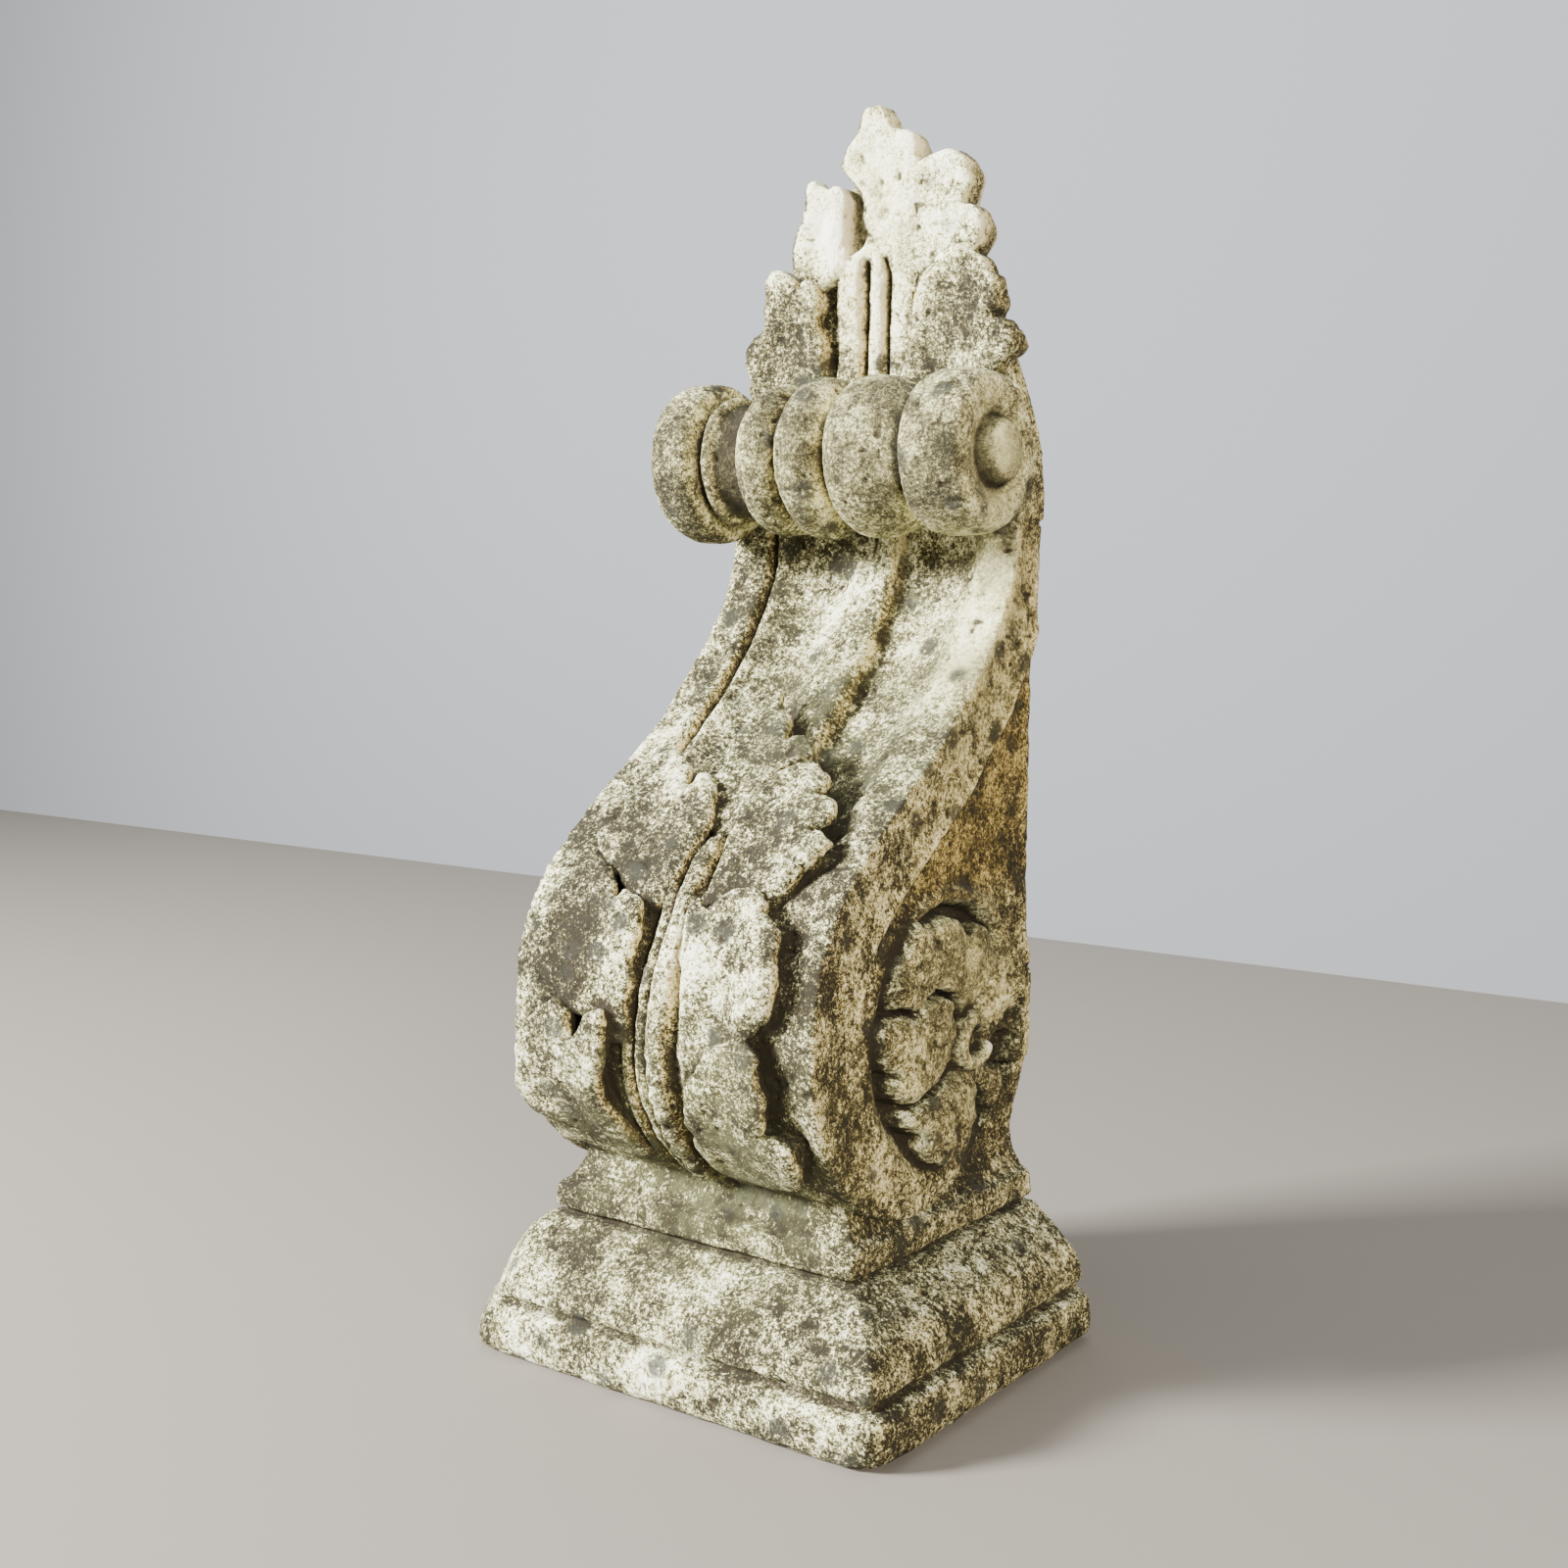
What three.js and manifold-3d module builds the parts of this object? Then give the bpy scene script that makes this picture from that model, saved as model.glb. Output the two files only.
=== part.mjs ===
// A cast concrete bracket with an acanthus leaf, standing upside-down on its moulded abacus.
// Millimetres, +Z up. The origin is under the middle of the plinth. The flat back, which goes on the
// wall, faces +Y, and the carved front faces -Y. "Out" is the distance in front of the back.

import * as THREE from 'three';
import { mergeVertices } from 'three/addons/utils/BufferGeometryUtils.js';
import Module from 'manifold-3d';

// Abacus: a square plinth with an ogee moulding, which insets by steps up to the body's foot.
const PLINTH_WIDTH = 246;
const PLINTH_DEPTH = 194;
const PLINTH_HEIGHT = 24;
const PLINTH_EDGE = 5;
const GROOVE_INSET = 5;
const GROOVE_HEIGHT = 7;
const OGEE_HEIGHT = 31;
const OGEE_INSET = 26;
const LEDGE_HEIGHT = 4;
const FILLET_INSET = 7;
const FILLET_HEIGHT = 12;
const COVE_HEIGHT = 20;
const COVE_INSET = 9;
const COVE_LIP = 2;
const CORNER_RADIUS = 8;

// How much of the ogee's turn is an even S; the rest sweeps outwards as it rises.
const OGEE_EVEN_SHARE = 0.35;

// Body: a front that runs round the volute, over the shoulder and up an S-curve to the neck.
const BODY_WIDTH = 171;
const VOLUTE_RADIUS = 83;
const VOLUTE_OUT = 104.5;
const VOLUTE_SINK = 16;
const WAIST_OUT = 99;
const WAIST_RISE = 122;
const WAIST_SLOPE = 53.6;
const NECK_OUT = 22;
const NECK_RISE = 103;
const FOOT_WIDTH = 150;
const FOOT_FLARE = 55;
const LAP = 5;

// How far the front's curve holds its direction at each of its joints, as shares of its rise there.
const SHOULDER_SHARE = 0.505;
const WAIST_LOW_SHARE = 0.594;
const WAIST_HIGH_SHARE = 0.361;
const NECK_SHARE = 0.31;

// Flutes of the upper front, across half of it from the middle: rib, cove, bead and groove.
const RIB_HALF = 14;
const COVE_EDGE = 52;
const BEAD_EDGE = 62;
const GROOVE_EDGE = 66;
const COVE_DEPTH = 8;
const COVE_EDGE_DEPTH = 6;
const COVE_HOLLOW = 4.8;
const BEAD_DEPTH = 2;
const GROOVE_DEPTH = 6;
const FLUTE_START_SHARE = 0.58;
const FLUTE_FADE = 45;
const CUTTER_RISE = 12;

// Sides: a panel behind the S-band, and a round recess that holds the rosette.
const BAND_WIDTH = 36;
const PANEL_DEPTH = 2.5;
const PANEL_FROM_SHARE = 0.4;
const PANEL_TO_SHARE = 0.9;
const PANEL_HEADROOM = 8;
const ROSETTE_OUT = 79;
const ROSETTE_DROP = 4;
const ROSETTE_RADIUS = 56;
const RECESS_DEPTH = 10;
const RIM_WIDTH = 5;
const RIM_RISE = 2;
const PETALS = 5;
const PETAL_TURN = 38;
const PETAL_RISE = 13;

// Roller: a reeded baluster across the neck, with a button at each end.
const ROLLER_RADIUS = 38.5;
const ROLLER_LENGTH = 177;
const ROLLER_OUT = 48.5;
const ROLLER_RISE = 39;
const REED_PITCH = 26;
const REED_RADIUS = 37;
const REED_VALLEY = 28;
const DISC_LENGTH = 26;
const RING_LENGTH = 6;
const BUTTON_RADIUS = 15;
const BUTTON_RISE = 7;
const BUTTON_ROUND = 5;
const DISC_ROUND = 7;
const DISC_DISH = 2;
const NECK_SINK = 3;

// Slab behind the roller, and the palmette finial that stands on it.
const SLAB_THICKNESS = 21;
const SLAB_WIDTH = 176;
const SLAB_TOP_WIDTH = 132;
const SLAB_HEIGHT = 98;
const SLAB_SHOULDER = 24;
const SLAB_BOW = 3;
const FINIAL_HEIGHT = 112;
const FINIAL_THICKNESS = 24;
const FINIAL_LEAN = 7;
const FINIAL_EDGE = 9;
const FINIAL_FLOOR = 14;
const FLOOR_INSET = 10;
const FINIAL_STEM = 28;
const STEM_LOW_SHARE = 0.25;
const STEM_HIGH_SHARE = 0.5;
const FLUTE_RADIUS = 4.5;
const FLUTE_SHORTER = 7;

// The leaf stands this far from the front, and its lobes sink this far into it.
const LEAF_RISE = 6;
const LEAF_SINK = 8;
const STEM_WIDTH = 20;
const STEM_RISE = 4;

// Every lobe's rounded top: how high its wall and its middle stand, and how wide its flat top is, as
// shares of its rise and of its outline.
const LOBE_WALL_SHARE = 0.55;
const LOBE_MIDDLE_SHARE = 0.85;
const LOBE_TOP_SHARE = 0.8;

const half = BODY_WIDTH / 2;
const filletTop = PLINTH_HEIGHT + GROOVE_HEIGHT + OGEE_HEIGHT + LEDGE_HEIGHT + FILLET_HEIGHT;
const baseTop = filletTop + COVE_HEIGHT;
const voluteHeight = baseTop - VOLUTE_SINK + VOLUTE_RADIUS;
const waistHeight = voluteHeight + WAIST_RISE;
const neckHeight = waistHeight + NECK_RISE;

// A point from its place across, its distance out from the back and its height.
function at(across, out, height) {
  return new THREE.Vector3(across, PLINTH_DEPTH / 2 - out, height);
}

// A closed geometry from lists of points and of triangles.
function meshed(points, triangles) {
  const geometry = new THREE.BufferGeometry().setFromPoints(points);
  geometry.setIndex(triangles);
  return geometry;
}

// Triangles that fill a section, wound the way the section runs.
function capTriangles(section) {
  const triangles = THREE.ShapeUtils.triangulateShape(section, []);
  return THREE.ShapeUtils.isClockWise(section) ? triangles.map(([a, b, c]) => [a, c, b]) : triangles;
}

// A skin over equal rings of 2-D points, closed by a cap at each end.
function loft(sections, place) {
  const count = sections[0].length;
  const points = sections.flatMap((section, i) => section.map((point) => place(point, i)));
  const triangles = [];
  for (let i = 0; i + 1 < sections.length; i++) {
    for (let j = 0; j < count; j++) {
      const a = i * count + j;
      const b = i * count + (j + 1) % count;
      triangles.push(a, b, b + count, a, b + count, a + count);
    }
  }
  const last = (sections.length - 1) * count;
  for (const [a, b, c] of capTriangles(sections[0])) {
    triangles.push(a, c, b);
  }
  for (const [a, b, c] of capTriangles(sections.at(-1))) {
    triangles.push(last + a, last + b, last + c);
  }
  return meshed(points, triangles);
}

// Abacus

// A section of the abacus: square at the back, with rounded front corners.
function abacusSection(inset) {
  const wide = PLINTH_WIDTH / 2 - inset;
  const deep = PLINTH_DEPTH - inset;
  const section = [new THREE.Vector2(-wide, 0)];
  for (const side of [-1, 1]) {
    for (let k = 0; k <= 3; k++) {
      const turn = (side < 0 ? k / 3 : 1 - k / 3) * Math.PI / 2;
      const across = wide - CORNER_RADIUS + CORNER_RADIUS * Math.cos(turn);
      const out = deep - CORNER_RADIUS + CORNER_RADIUS * Math.sin(turn);
      section.push(new THREE.Vector2(side * across, out));
    }
  }
  section.push(new THREE.Vector2(wide, 0));
  return section;
}

// Insets and heights up the abacus: the plinth, the groove, the ogee, the ledge, the fillet, the cove.
function abacusProfile() {
  const steps = [[PLINTH_EDGE, 0], [0, PLINTH_EDGE]];
  steps.push([0, PLINTH_HEIGHT - PLINTH_EDGE], [PLINTH_EDGE, PLINTH_HEIGHT]);
  let inset = GROOVE_INSET;
  let height = PLINTH_HEIGHT;
  steps.push([inset, height]);
  height += GROOVE_HEIGHT;
  steps.push([inset, height]);
  for (let k = 1; k <= 6; k++) {
    const rise = k / 6;
    const turn = THREE.MathUtils.smoothstep(rise, 0, 1);
    const share = turn * OGEE_EVEN_SHARE + rise * rise * (1 - OGEE_EVEN_SHARE);
    steps.push([inset + OGEE_INSET * share, height + OGEE_HEIGHT * rise]);
  }
  inset += OGEE_INSET;
  height += OGEE_HEIGHT + LEDGE_HEIGHT;
  steps.push([inset, height]);
  inset += FILLET_INSET;
  steps.push([inset, height], [inset, height + FILLET_HEIGHT]);
  height += FILLET_HEIGHT;
  for (let k = 1; k <= 4; k++) {
    const rise = k / 4;
    const turn = COVE_LIP + (COVE_INSET - COVE_LIP) * Math.sqrt(rise);
    steps.push([inset + turn, height + COVE_HEIGHT * rise]);
  }
  return steps;
}

function abacus() {
  const steps = abacusProfile();
  const sections = steps.map(([inset]) => abacusSection(inset));
  return loft(sections, (point, i) => at(point.x, point.y, steps[i][1]));
}

// Body

// The front in (out, height), from the volute's lowest point round to the neck.
function frontCurve() {
  const volute = new THREE.Vector2(VOLUTE_OUT, voluteHeight);
  const shoulder = new THREE.Vector2(VOLUTE_OUT + VOLUTE_RADIUS, voluteHeight);
  const waist = new THREE.Vector2(WAIST_OUT, waistHeight);
  const neck = new THREE.Vector2(NECK_OUT, neckHeight);
  const slope = THREE.MathUtils.degToRad(WAIST_SLOPE);
  const down = new THREE.Vector2(Math.sin(slope), -Math.cos(slope));
  const curve = new THREE.CurvePath();
  curve.add(new THREE.EllipseCurve(volute.x, volute.y, VOLUTE_RADIUS, VOLUTE_RADIUS, -Math.PI / 2, 0));
  curve.add(new THREE.CubicBezierCurve(
    shoulder, shoulder.clone().add(new THREE.Vector2(0, WAIST_RISE * SHOULDER_SHARE)),
    waist.clone().addScaledVector(down, WAIST_RISE * WAIST_LOW_SHARE), waist));
  curve.add(new THREE.CubicBezierCurve(
    waist, waist.clone().addScaledVector(down, -NECK_RISE * WAIST_HIGH_SHARE),
    neck.clone().add(new THREE.Vector2(0, -NECK_RISE * NECK_SHARE)), neck));
  return curve;
}

const front = frontCurve();
const frontLength = front.getLength();
const FRONT_STEPS = 30;
const NEARBY_SHARE = 0.004;

// A point at a share of the front's length, standing the given distance out from its surface.
function onFront(across, share, rise) {
  const held = THREE.MathUtils.clamp(share, 0, 1);
  const point = front.getPoint(held);
  const ahead = front.getPoint(Math.min(held + NEARBY_SHARE, 1));
  const behind = front.getPoint(Math.max(held - NEARBY_SHARE, 0));
  const along = ahead.sub(behind).normalize();
  const beyond = (share - held) * frontLength;
  return at(across, point.x + along.y * rise + along.x * beyond,
    point.y - along.x * rise + along.y * beyond);
}

// A flat outline in (out, height), extruded across the given width about the middle.
function sideSolid(outline, width, middle = 0) {
  const geometry = new THREE.ExtrudeGeometry(new THREE.Shape(outline), {
    depth: width, bevelEnabled: false, steps: 1,
  });
  const basis = new THREE.Matrix4().makeBasis(
    new THREE.Vector3(0, -1, 0), new THREE.Vector3(0, 0, 1), new THREE.Vector3(-1, 0, 0));
  basis.setPosition(middle + width / 2, PLINTH_DEPTH / 2, 0);
  return geometry.applyMatrix4(basis);
}

// A flat outline in (across, height), extruded outwards from one distance out to another.
function frontSolid(outline, from, to) {
  const geometry = new THREE.ExtrudeGeometry(new THREE.Shape(outline), {
    depth: to - from, bevelEnabled: false, steps: 1,
  });
  const basis = new THREE.Matrix4().makeBasis(
    new THREE.Vector3(1, 0, 0), new THREE.Vector3(0, 0, 1), new THREE.Vector3(0, -1, 0));
  basis.setPosition(0, PLINTH_DEPTH / 2 - from, 0);
  return geometry.applyMatrix4(basis);
}

// The body's side: the volute's round foot, the S-curved front and the flat back.
function bodyOutline() {
  const outline = [];
  for (let k = 4; k > 0; k--) {
    const turn = -Math.PI / 2 - k * Math.PI / 12;
    outline.push(new THREE.Vector2(
      VOLUTE_OUT + VOLUTE_RADIUS * Math.cos(turn), voluteHeight + VOLUTE_RADIUS * Math.sin(turn)));
  }
  for (let k = 0; k <= FRONT_STEPS; k++) {
    outline.push(front.getPoint(k / FRONT_STEPS));
  }
  outline.push(new THREE.Vector2(NECK_OUT, neckHeight + LAP));
  outline.push(new THREE.Vector2(0, neckHeight + LAP), new THREE.Vector2(0, outline[0].y));
  return outline;
}

// The narrower foot between the volute and the abacus, flaring out to the body's full width.
function foot() {
  const rim = FOOT_WIDTH / 2;
  const outline = [new THREE.Vector2(rim, filletTop - LAP), new THREE.Vector2(rim, baseTop)];
  for (let k = 1; k <= 4; k++) {
    const rise = k / 4;
    const flare = (half - 1 - rim) * Math.sin(rise * Math.PI / 2);
    outline.push(new THREE.Vector2(rim + flare, baseTop + FOOT_FLARE * rise));
  }
  const mirror = outline.map((point) => new THREE.Vector2(-point.x, point.y)).reverse();
  return frontSolid([...outline, ...mirror], 0, VOLUTE_OUT);
}

// How deep the flutes lie at a distance from the middle.
function fluteDepth(across) {
  if (across <= RIB_HALF) {
    return COVE_EDGE_DEPTH * (1 - Math.sqrt(Math.max(0, 1 - (across / RIB_HALF) ** 2)));
  }
  if (across <= COVE_EDGE) {
    const share = (across - RIB_HALF) / (COVE_EDGE - RIB_HALF);
    return COVE_EDGE_DEPTH * (1 - share) + COVE_HOLLOW * Math.sin(share * Math.PI);
  }
  if (across <= BEAD_EDGE) {
    const share = (across - COVE_EDGE) / (BEAD_EDGE - COVE_EDGE);
    return BEAD_DEPTH * (1 - Math.sin(share * Math.PI));
  }
  const share = (across - BEAD_EDGE) / (GROOVE_EDGE - BEAD_EDGE);
  return GROOVE_DEPTH * (1 - Math.abs(2 * share - 1));
}

// The cutter that sinks the flutes into the front between the leaf's tip and the neck.
function fluteCutter() {
  const stations = [0, RIB_HALF * 0.5, RIB_HALF * 0.85];
  for (const share of [0, 0.15, 0.4, 0.7, 0.9]) {
    stations.push(RIB_HALF + share * (COVE_EDGE - RIB_HALF));
  }
  for (const share of [0, 0.3, 0.7, 1]) {
    stations.push(COVE_EDGE + share * (BEAD_EDGE - COVE_EDGE));
  }
  stations.push((BEAD_EDGE + GROOVE_EDGE) / 2, GROOVE_EDGE);
  const across = [...stations.slice(1).reverse().map((value) => -value), ...stations];
  const first = Math.round(FRONT_STEPS * FLUTE_START_SHARE);
  const sections = [];
  const shares = [];
  for (let k = first; k <= FRONT_STEPS; k++) {
    const share = k / FRONT_STEPS;
    const fade = Math.min(1, (share - first / FRONT_STEPS) * frontLength / FLUTE_FADE);
    const section = across.map((x) => new THREE.Vector2(x, 1 - (fluteDepth(Math.abs(x)) + 1) * fade));
    section.push(new THREE.Vector2(GROOVE_EDGE, CUTTER_RISE));
    section.push(new THREE.Vector2(-GROOVE_EDGE, CUTTER_RISE));
    sections.push(section);
    shares.push(share);
  }
  return loft(sections, (point, i) => onFront(point.x, shares[i], point.y));
}

// Sides

// The panel behind the S-band, in (out, height): the band's inner edge and the back.
function panelOutline() {
  const outline = [];
  const steps = 12;
  for (let k = 0; k <= steps; k++) {
    const share = PANEL_FROM_SHARE + (PANEL_TO_SHARE - PANEL_FROM_SHARE) * k / steps;
    const point = front.getPoint(share);
    const along = front.getTangent(share);
    const inner = new THREE.Vector2(point.x - along.y * BAND_WIDTH, point.y + along.x * BAND_WIDTH);
    if (inner.x > 0) {
      outline.push(inner);
    }
  }
  outline.push(new THREE.Vector2(-1, outline.at(-1).y + PANEL_HEADROOM));
  outline.push(new THREE.Vector2(-1, voluteHeight));
  outline.push(new THREE.Vector2(ROSETTE_OUT, voluteHeight));
  return outline;
}

function disc(radius, from, to, sides = 24) {
  const geometry = new THREE.CylinderGeometry(radius, radius, to - from, sides);
  geometry.rotateZ(Math.PI / 2);
  const centre = at((from + to) / 2, ROSETTE_OUT, voluteHeight - ROSETTE_DROP);
  return geometry.translate(centre.x, centre.y, centre.z);
}

// Lobed patches

// How far a disc reaches along a direction from the origin.
function discReach(x, y, radius, direction) {
  const along = x * direction.x + y * direction.y;
  const aside = x * x + y * y - along * along;
  return aside < radius * radius ? along + Math.sqrt(radius * radius - aside) : 0;
}

// How far a lobe reaches in a direction: its core, or one of the round-ended fingers from its middle.
function lobeReach(lobe, turn) {
  const direction = new THREE.Vector2(Math.cos(turn), Math.sin(turn));
  let reach = lobe.core;
  for (const [x, y, radius] of lobe.fingers) {
    const length = Math.hypot(x, y);
    const cosine = (x * direction.x + y * direction.y) / length;
    const sine = Math.sqrt(Math.max(1e-9, 1 - cosine * cosine));
    const flank = radius / sine;
    const onFlank = cosine > 0 && flank * cosine < length;
    reach = Math.max(reach, onFlank ? flank : discReach(x, y, radius, direction));
  }
  return reach;
}

// A closed lobe: a flat top inside a rounded rim, whose wall goes down to its foot in what carries it.
// The foot is the given share of the lobe's own outline.
function lobePatch(lobe, scale, rise, sink, place, sides = 24, foot = 1, edge = sink) {
  const rings = [[foot, -sink], [1, -edge], [1, rise * LOBE_WALL_SHARE], [LOBE_TOP_SHARE, rise]];
  const points = [];
  for (const [share, height] of rings) {
    for (let k = 0; k < sides; k++) {
      const turn = 2 * Math.PI * k / sides;
      const reach = lobeReach(lobe, turn) * scale * share;
      points.push(place(reach * Math.cos(turn), reach * Math.sin(turn), height));
    }
  }
  const low = points.push(place(0, 0, -sink)) - 1;
  const crown = points.push(place(0, 0, rise * LOBE_MIDDLE_SHARE)) - 1;
  const triangles = [];
  for (let k = 0; k < sides; k++) {
    const next = (k + 1) % sides;
    triangles.push(low, next, k);
    for (let ring = 0; ring + 1 < rings.length; ring++) {
      const a = ring * sides + k;
      const b = ring * sides + next;
      triangles.push(a, b, b + sides, a, b + sides, a + sides);
    }
    const last = (rings.length - 1) * sides;
    triangles.push(last + k, last + next, crown);
  }
  return meshed(points, triangles);
}

// Leaf

// The leaf's lobes right of the stem, from root to tip. "across" and the fingers' offsets and radii are
// shares of half the body's width, and "along" is a share of the front's length.
const LEAF_LOBES = [
  { across: 0.66, along: 0.165, core: 0.12, fingers: [[-0.04, -0.14, 0.1], [0.04, 0.12, 0.13]] },
  { across: 0.28, along: 0.205, core: 0.16, fingers: [[0.02, 0.14, 0.14]] },
  {
    across: 0.54, along: 0.255, core: 0.25,
    fingers: [[0.06, 0.3, 0.11], [-0.22, 0.24, 0.1], [0.24, 0.02, 0.13], [-0.1, -0.28, 0.15]],
  },
  {
    across: 0.45, along: 0.404, core: 0.28,
    fingers: [[-0.24, 0.26, 0.09], [-0.02, 0.34, 0.12], [0.26, 0.2, 0.11], [0.28, -0.06, 0.1],
      [0.14, -0.28, 0.14], [-0.2, -0.3, 0.13]],
  },
  {
    across: 0.43, along: 0.565, core: 0.27,
    fingers: [[-0.22, 0.32, 0.1], [-0.02, 0.44, 0.13], [0.2, 0.3, 0.12], [0.26, -0.02, 0.11],
      [-0.14, -0.34, 0.15], [0.14, -0.3, 0.14]],
  },
];

// The tip between the upper lobes.
const LEAF_TIP = {
  core: 0.18, fingers: [[0, 0.42, 0.08], [0.18, 0.12, 0.1], [-0.18, 0.12, 0.1], [0, -0.3, 0.16]],
};
const LEAF_TIP_SHARE = 0.67;
const STEM_FROM_SHARE = 0.15;

function mirrored(geometry) {
  const copy = geometry.clone();
  copy.scale(-1, 1, 1);
  return copy;
}

function leaf() {
  const pieces = [];
  for (const lobe of LEAF_LOBES) {
    const piece = lobePatch(lobe, half, LEAF_RISE, LEAF_SINK,
      (x, s, rise) => onFront(lobe.across * half + x, lobe.along + s / frontLength, rise));
    pieces.push(piece, mirrored(piece));
  }
  pieces.push(lobePatch(LEAF_TIP, half, LEAF_RISE, LEAF_SINK + COVE_DEPTH,
    (x, s, rise) => onFront(x, LEAF_TIP_SHARE + s / frontLength, rise)));
  pieces.push(leafStem());
  return pieces;
}

// The leaf's midrib, a half-round strip up the middle of the front.
function leafStem() {
  const section = [];
  for (let k = 0; k <= 4; k++) {
    const turn = Math.PI * (1 - k / 4);
    section.push(new THREE.Vector2(Math.cos(turn) * STEM_WIDTH / 2, Math.sin(turn) * STEM_RISE));
  }
  section.push(new THREE.Vector2(STEM_WIDTH / 2, -LEAF_SINK));
  section.push(new THREE.Vector2(-STEM_WIDTH / 2, -LEAF_SINK));
  const steps = 14;
  const shares = Array.from({ length: steps + 1 },
    (_, k) => STEM_FROM_SHARE + (LEAF_TIP_SHARE - STEM_FROM_SHARE) * k / steps);
  return loft(shares.map(() => section), (point, i) => onFront(point.x, shares[i], point.y));
}

// Rosette

// A petal, as shares of the rosette's radius: two round lobes on a stalk.
const PETAL = { core: 0.26, fingers: [[0.2, 0.2, 0.22], [0.2, -0.2, 0.22], [-0.34, 0, 0.14]] };
const PETAL_SHARE = 0.58;
const BUD_SHARE = 0.24;

function rosette() {
  const floor = half - RECESS_DEPTH;
  const height = voluteHeight - ROSETTE_DROP;
  const pieces = [];
  for (let k = 0; k < PETALS; k++) {
    const turn = THREE.MathUtils.degToRad(PETAL_TURN) + 2 * Math.PI * k / PETALS;
    const cosine = Math.cos(turn);
    const sine = Math.sin(turn);
    pieces.push(lobePatch(PETAL, ROSETTE_RADIUS, PETAL_RISE, RECESS_DEPTH, (x, y, rise) => {
      const away = PETAL_SHARE * ROSETTE_RADIUS + x;
      return at(floor + rise, ROSETTE_OUT - away * cosine + y * sine, height + away * sine + y * cosine);
    }, 18));
  }
  pieces.push(disc(BUD_SHARE * ROSETTE_RADIUS, floor - RECESS_DEPTH, floor + PETAL_RISE * 1.5, 14));
  return pieces;
}

// The raised rim round the recess.
function rim() {
  const outer = ROSETTE_RADIUS + 2 * RIM_WIDTH;
  const inner = ROSETTE_RADIUS + RIM_WIDTH;
  const profile = [[inner, -RECESS_DEPTH], [inner, 0], [inner + RIM_WIDTH * 0.3, RIM_RISE],
    [inner + RIM_WIDTH * 0.7, RIM_RISE], [outer, -PANEL_DEPTH - 1], [outer, -RECESS_DEPTH]];
  const loop = [...profile, profile[0]].map(([r, y]) => new THREE.Vector2(r, y));
  const geometry = new THREE.LatheGeometry(loop, 24);
  geometry.rotateZ(-Math.PI / 2);
  const centre = at(half, ROSETTE_OUT, voluteHeight - ROSETTE_DROP);
  return geometry.translate(centre.x, centre.y, centre.z);
}

// Roller

// Radii and places along half of the roller, from its middle out to the button.
function rollerProfile() {
  const face = ROLLER_LENGTH / 2;
  const disc0 = face - DISC_LENGTH;
  const ring0 = disc0 - RING_LENGTH - DISC_DISH;
  const reed1 = REED_PITCH * 1.5;
  const valley = (REED_RADIUS + REED_VALLEY) / 2;
  const neck = REED_VALLEY - NECK_SINK;
  return [
    [0, REED_RADIUS], [REED_PITCH * 0.28, REED_RADIUS - 1], [REED_PITCH * 0.5, REED_VALLEY],
    [REED_PITCH * 0.7, REED_RADIUS - 1], [REED_PITCH, REED_RADIUS], [REED_PITCH * 1.3, REED_RADIUS - 1],
    [reed1, REED_VALLEY], [(reed1 * 2 + ring0) / 3, neck], [(reed1 + ring0 * 2) / 3, neck],
    [ring0, valley + 1], [ring0 + RING_LENGTH, valley + 1],
    [disc0 - 1, REED_VALLEY], [disc0, valley + 1],
    [disc0 + DISC_LENGTH * 0.25, ROLLER_RADIUS],
    [disc0 + DISC_LENGTH * 0.75, ROLLER_RADIUS], [face - 1, ROLLER_RADIUS - DISC_ROUND * 0.4],
    [face, ROLLER_RADIUS - DISC_ROUND], [face - DISC_DISH, BUTTON_RADIUS * 1.25],
    [face - DISC_DISH, BUTTON_RADIUS], [face + BUTTON_RISE * 0.6, BUTTON_RADIUS],
    [face + BUTTON_RISE, BUTTON_RADIUS - BUTTON_ROUND],
  ];
}

function roller() {
  const right = rollerProfile();
  const left = right.slice(1).reverse().map(([x, radius]) => [-x, radius]);
  const profile = [...left, ...right].map(([x, radius]) => new THREE.Vector2(radius, x));
  profile.unshift(new THREE.Vector2(0, profile[0].y));
  profile.push(new THREE.Vector2(0, profile.at(-1).y));
  const geometry = new THREE.LatheGeometry(profile, 20);
  geometry.rotateZ(-Math.PI / 2);
  const centre = at(0, ROLLER_OUT, neckHeight + ROLLER_RISE);
  return geometry.translate(centre.x, centre.y, centre.z);
}

// Slab and finial

const slabTop = neckHeight + SLAB_HEIGHT;

function slab() {
  const shape = new THREE.Shape();
  const low = neckHeight - LAP;
  const shoulder = neckHeight + SLAB_SHOULDER;
  const wide = SLAB_WIDTH / 2;
  const top = SLAB_TOP_WIDTH / 2;
  shape.moveTo(half, low);
  shape.lineTo(wide, shoulder);
  shape.quadraticCurveTo(wide - SLAB_BOW, (shoulder + slabTop) / 2, top, slabTop);
  shape.lineTo(-top, slabTop);
  shape.quadraticCurveTo(-wide + SLAB_BOW, (shoulder + slabTop) / 2, -wide, shoulder);
  shape.lineTo(-half, low);
  return frontSolid(shape.getPoints(6), 0, SLAB_THICKNESS);
}

// The finial's lobes right of its stem, as shares of its height: the lower and the upper pair.
const FINIAL_LOBES = [
  {
    across: 0.44, up: 0.03, core: 0.24,
    fingers: [[-0.13, 0.2, 0.11], [0.05, 0.24, 0.09], [0.17, 0.12, 0.09], [0.2, -0.05, 0.08],
      [0.16, -0.2, 0.09], [-0.09, -0.26, 0.14]],
  },
  {
    across: 0.3, up: 0.52, core: 0.2,
    fingers: [[-0.08, 0.17, 0.09], [0.07, 0.17, 0.08], [0.15, 0.08, 0.07], [0.2, -0.06, 0.07],
      [0.18, -0.2, 0.08], [-0.06, -0.2, 0.12]],
  },
];

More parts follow.
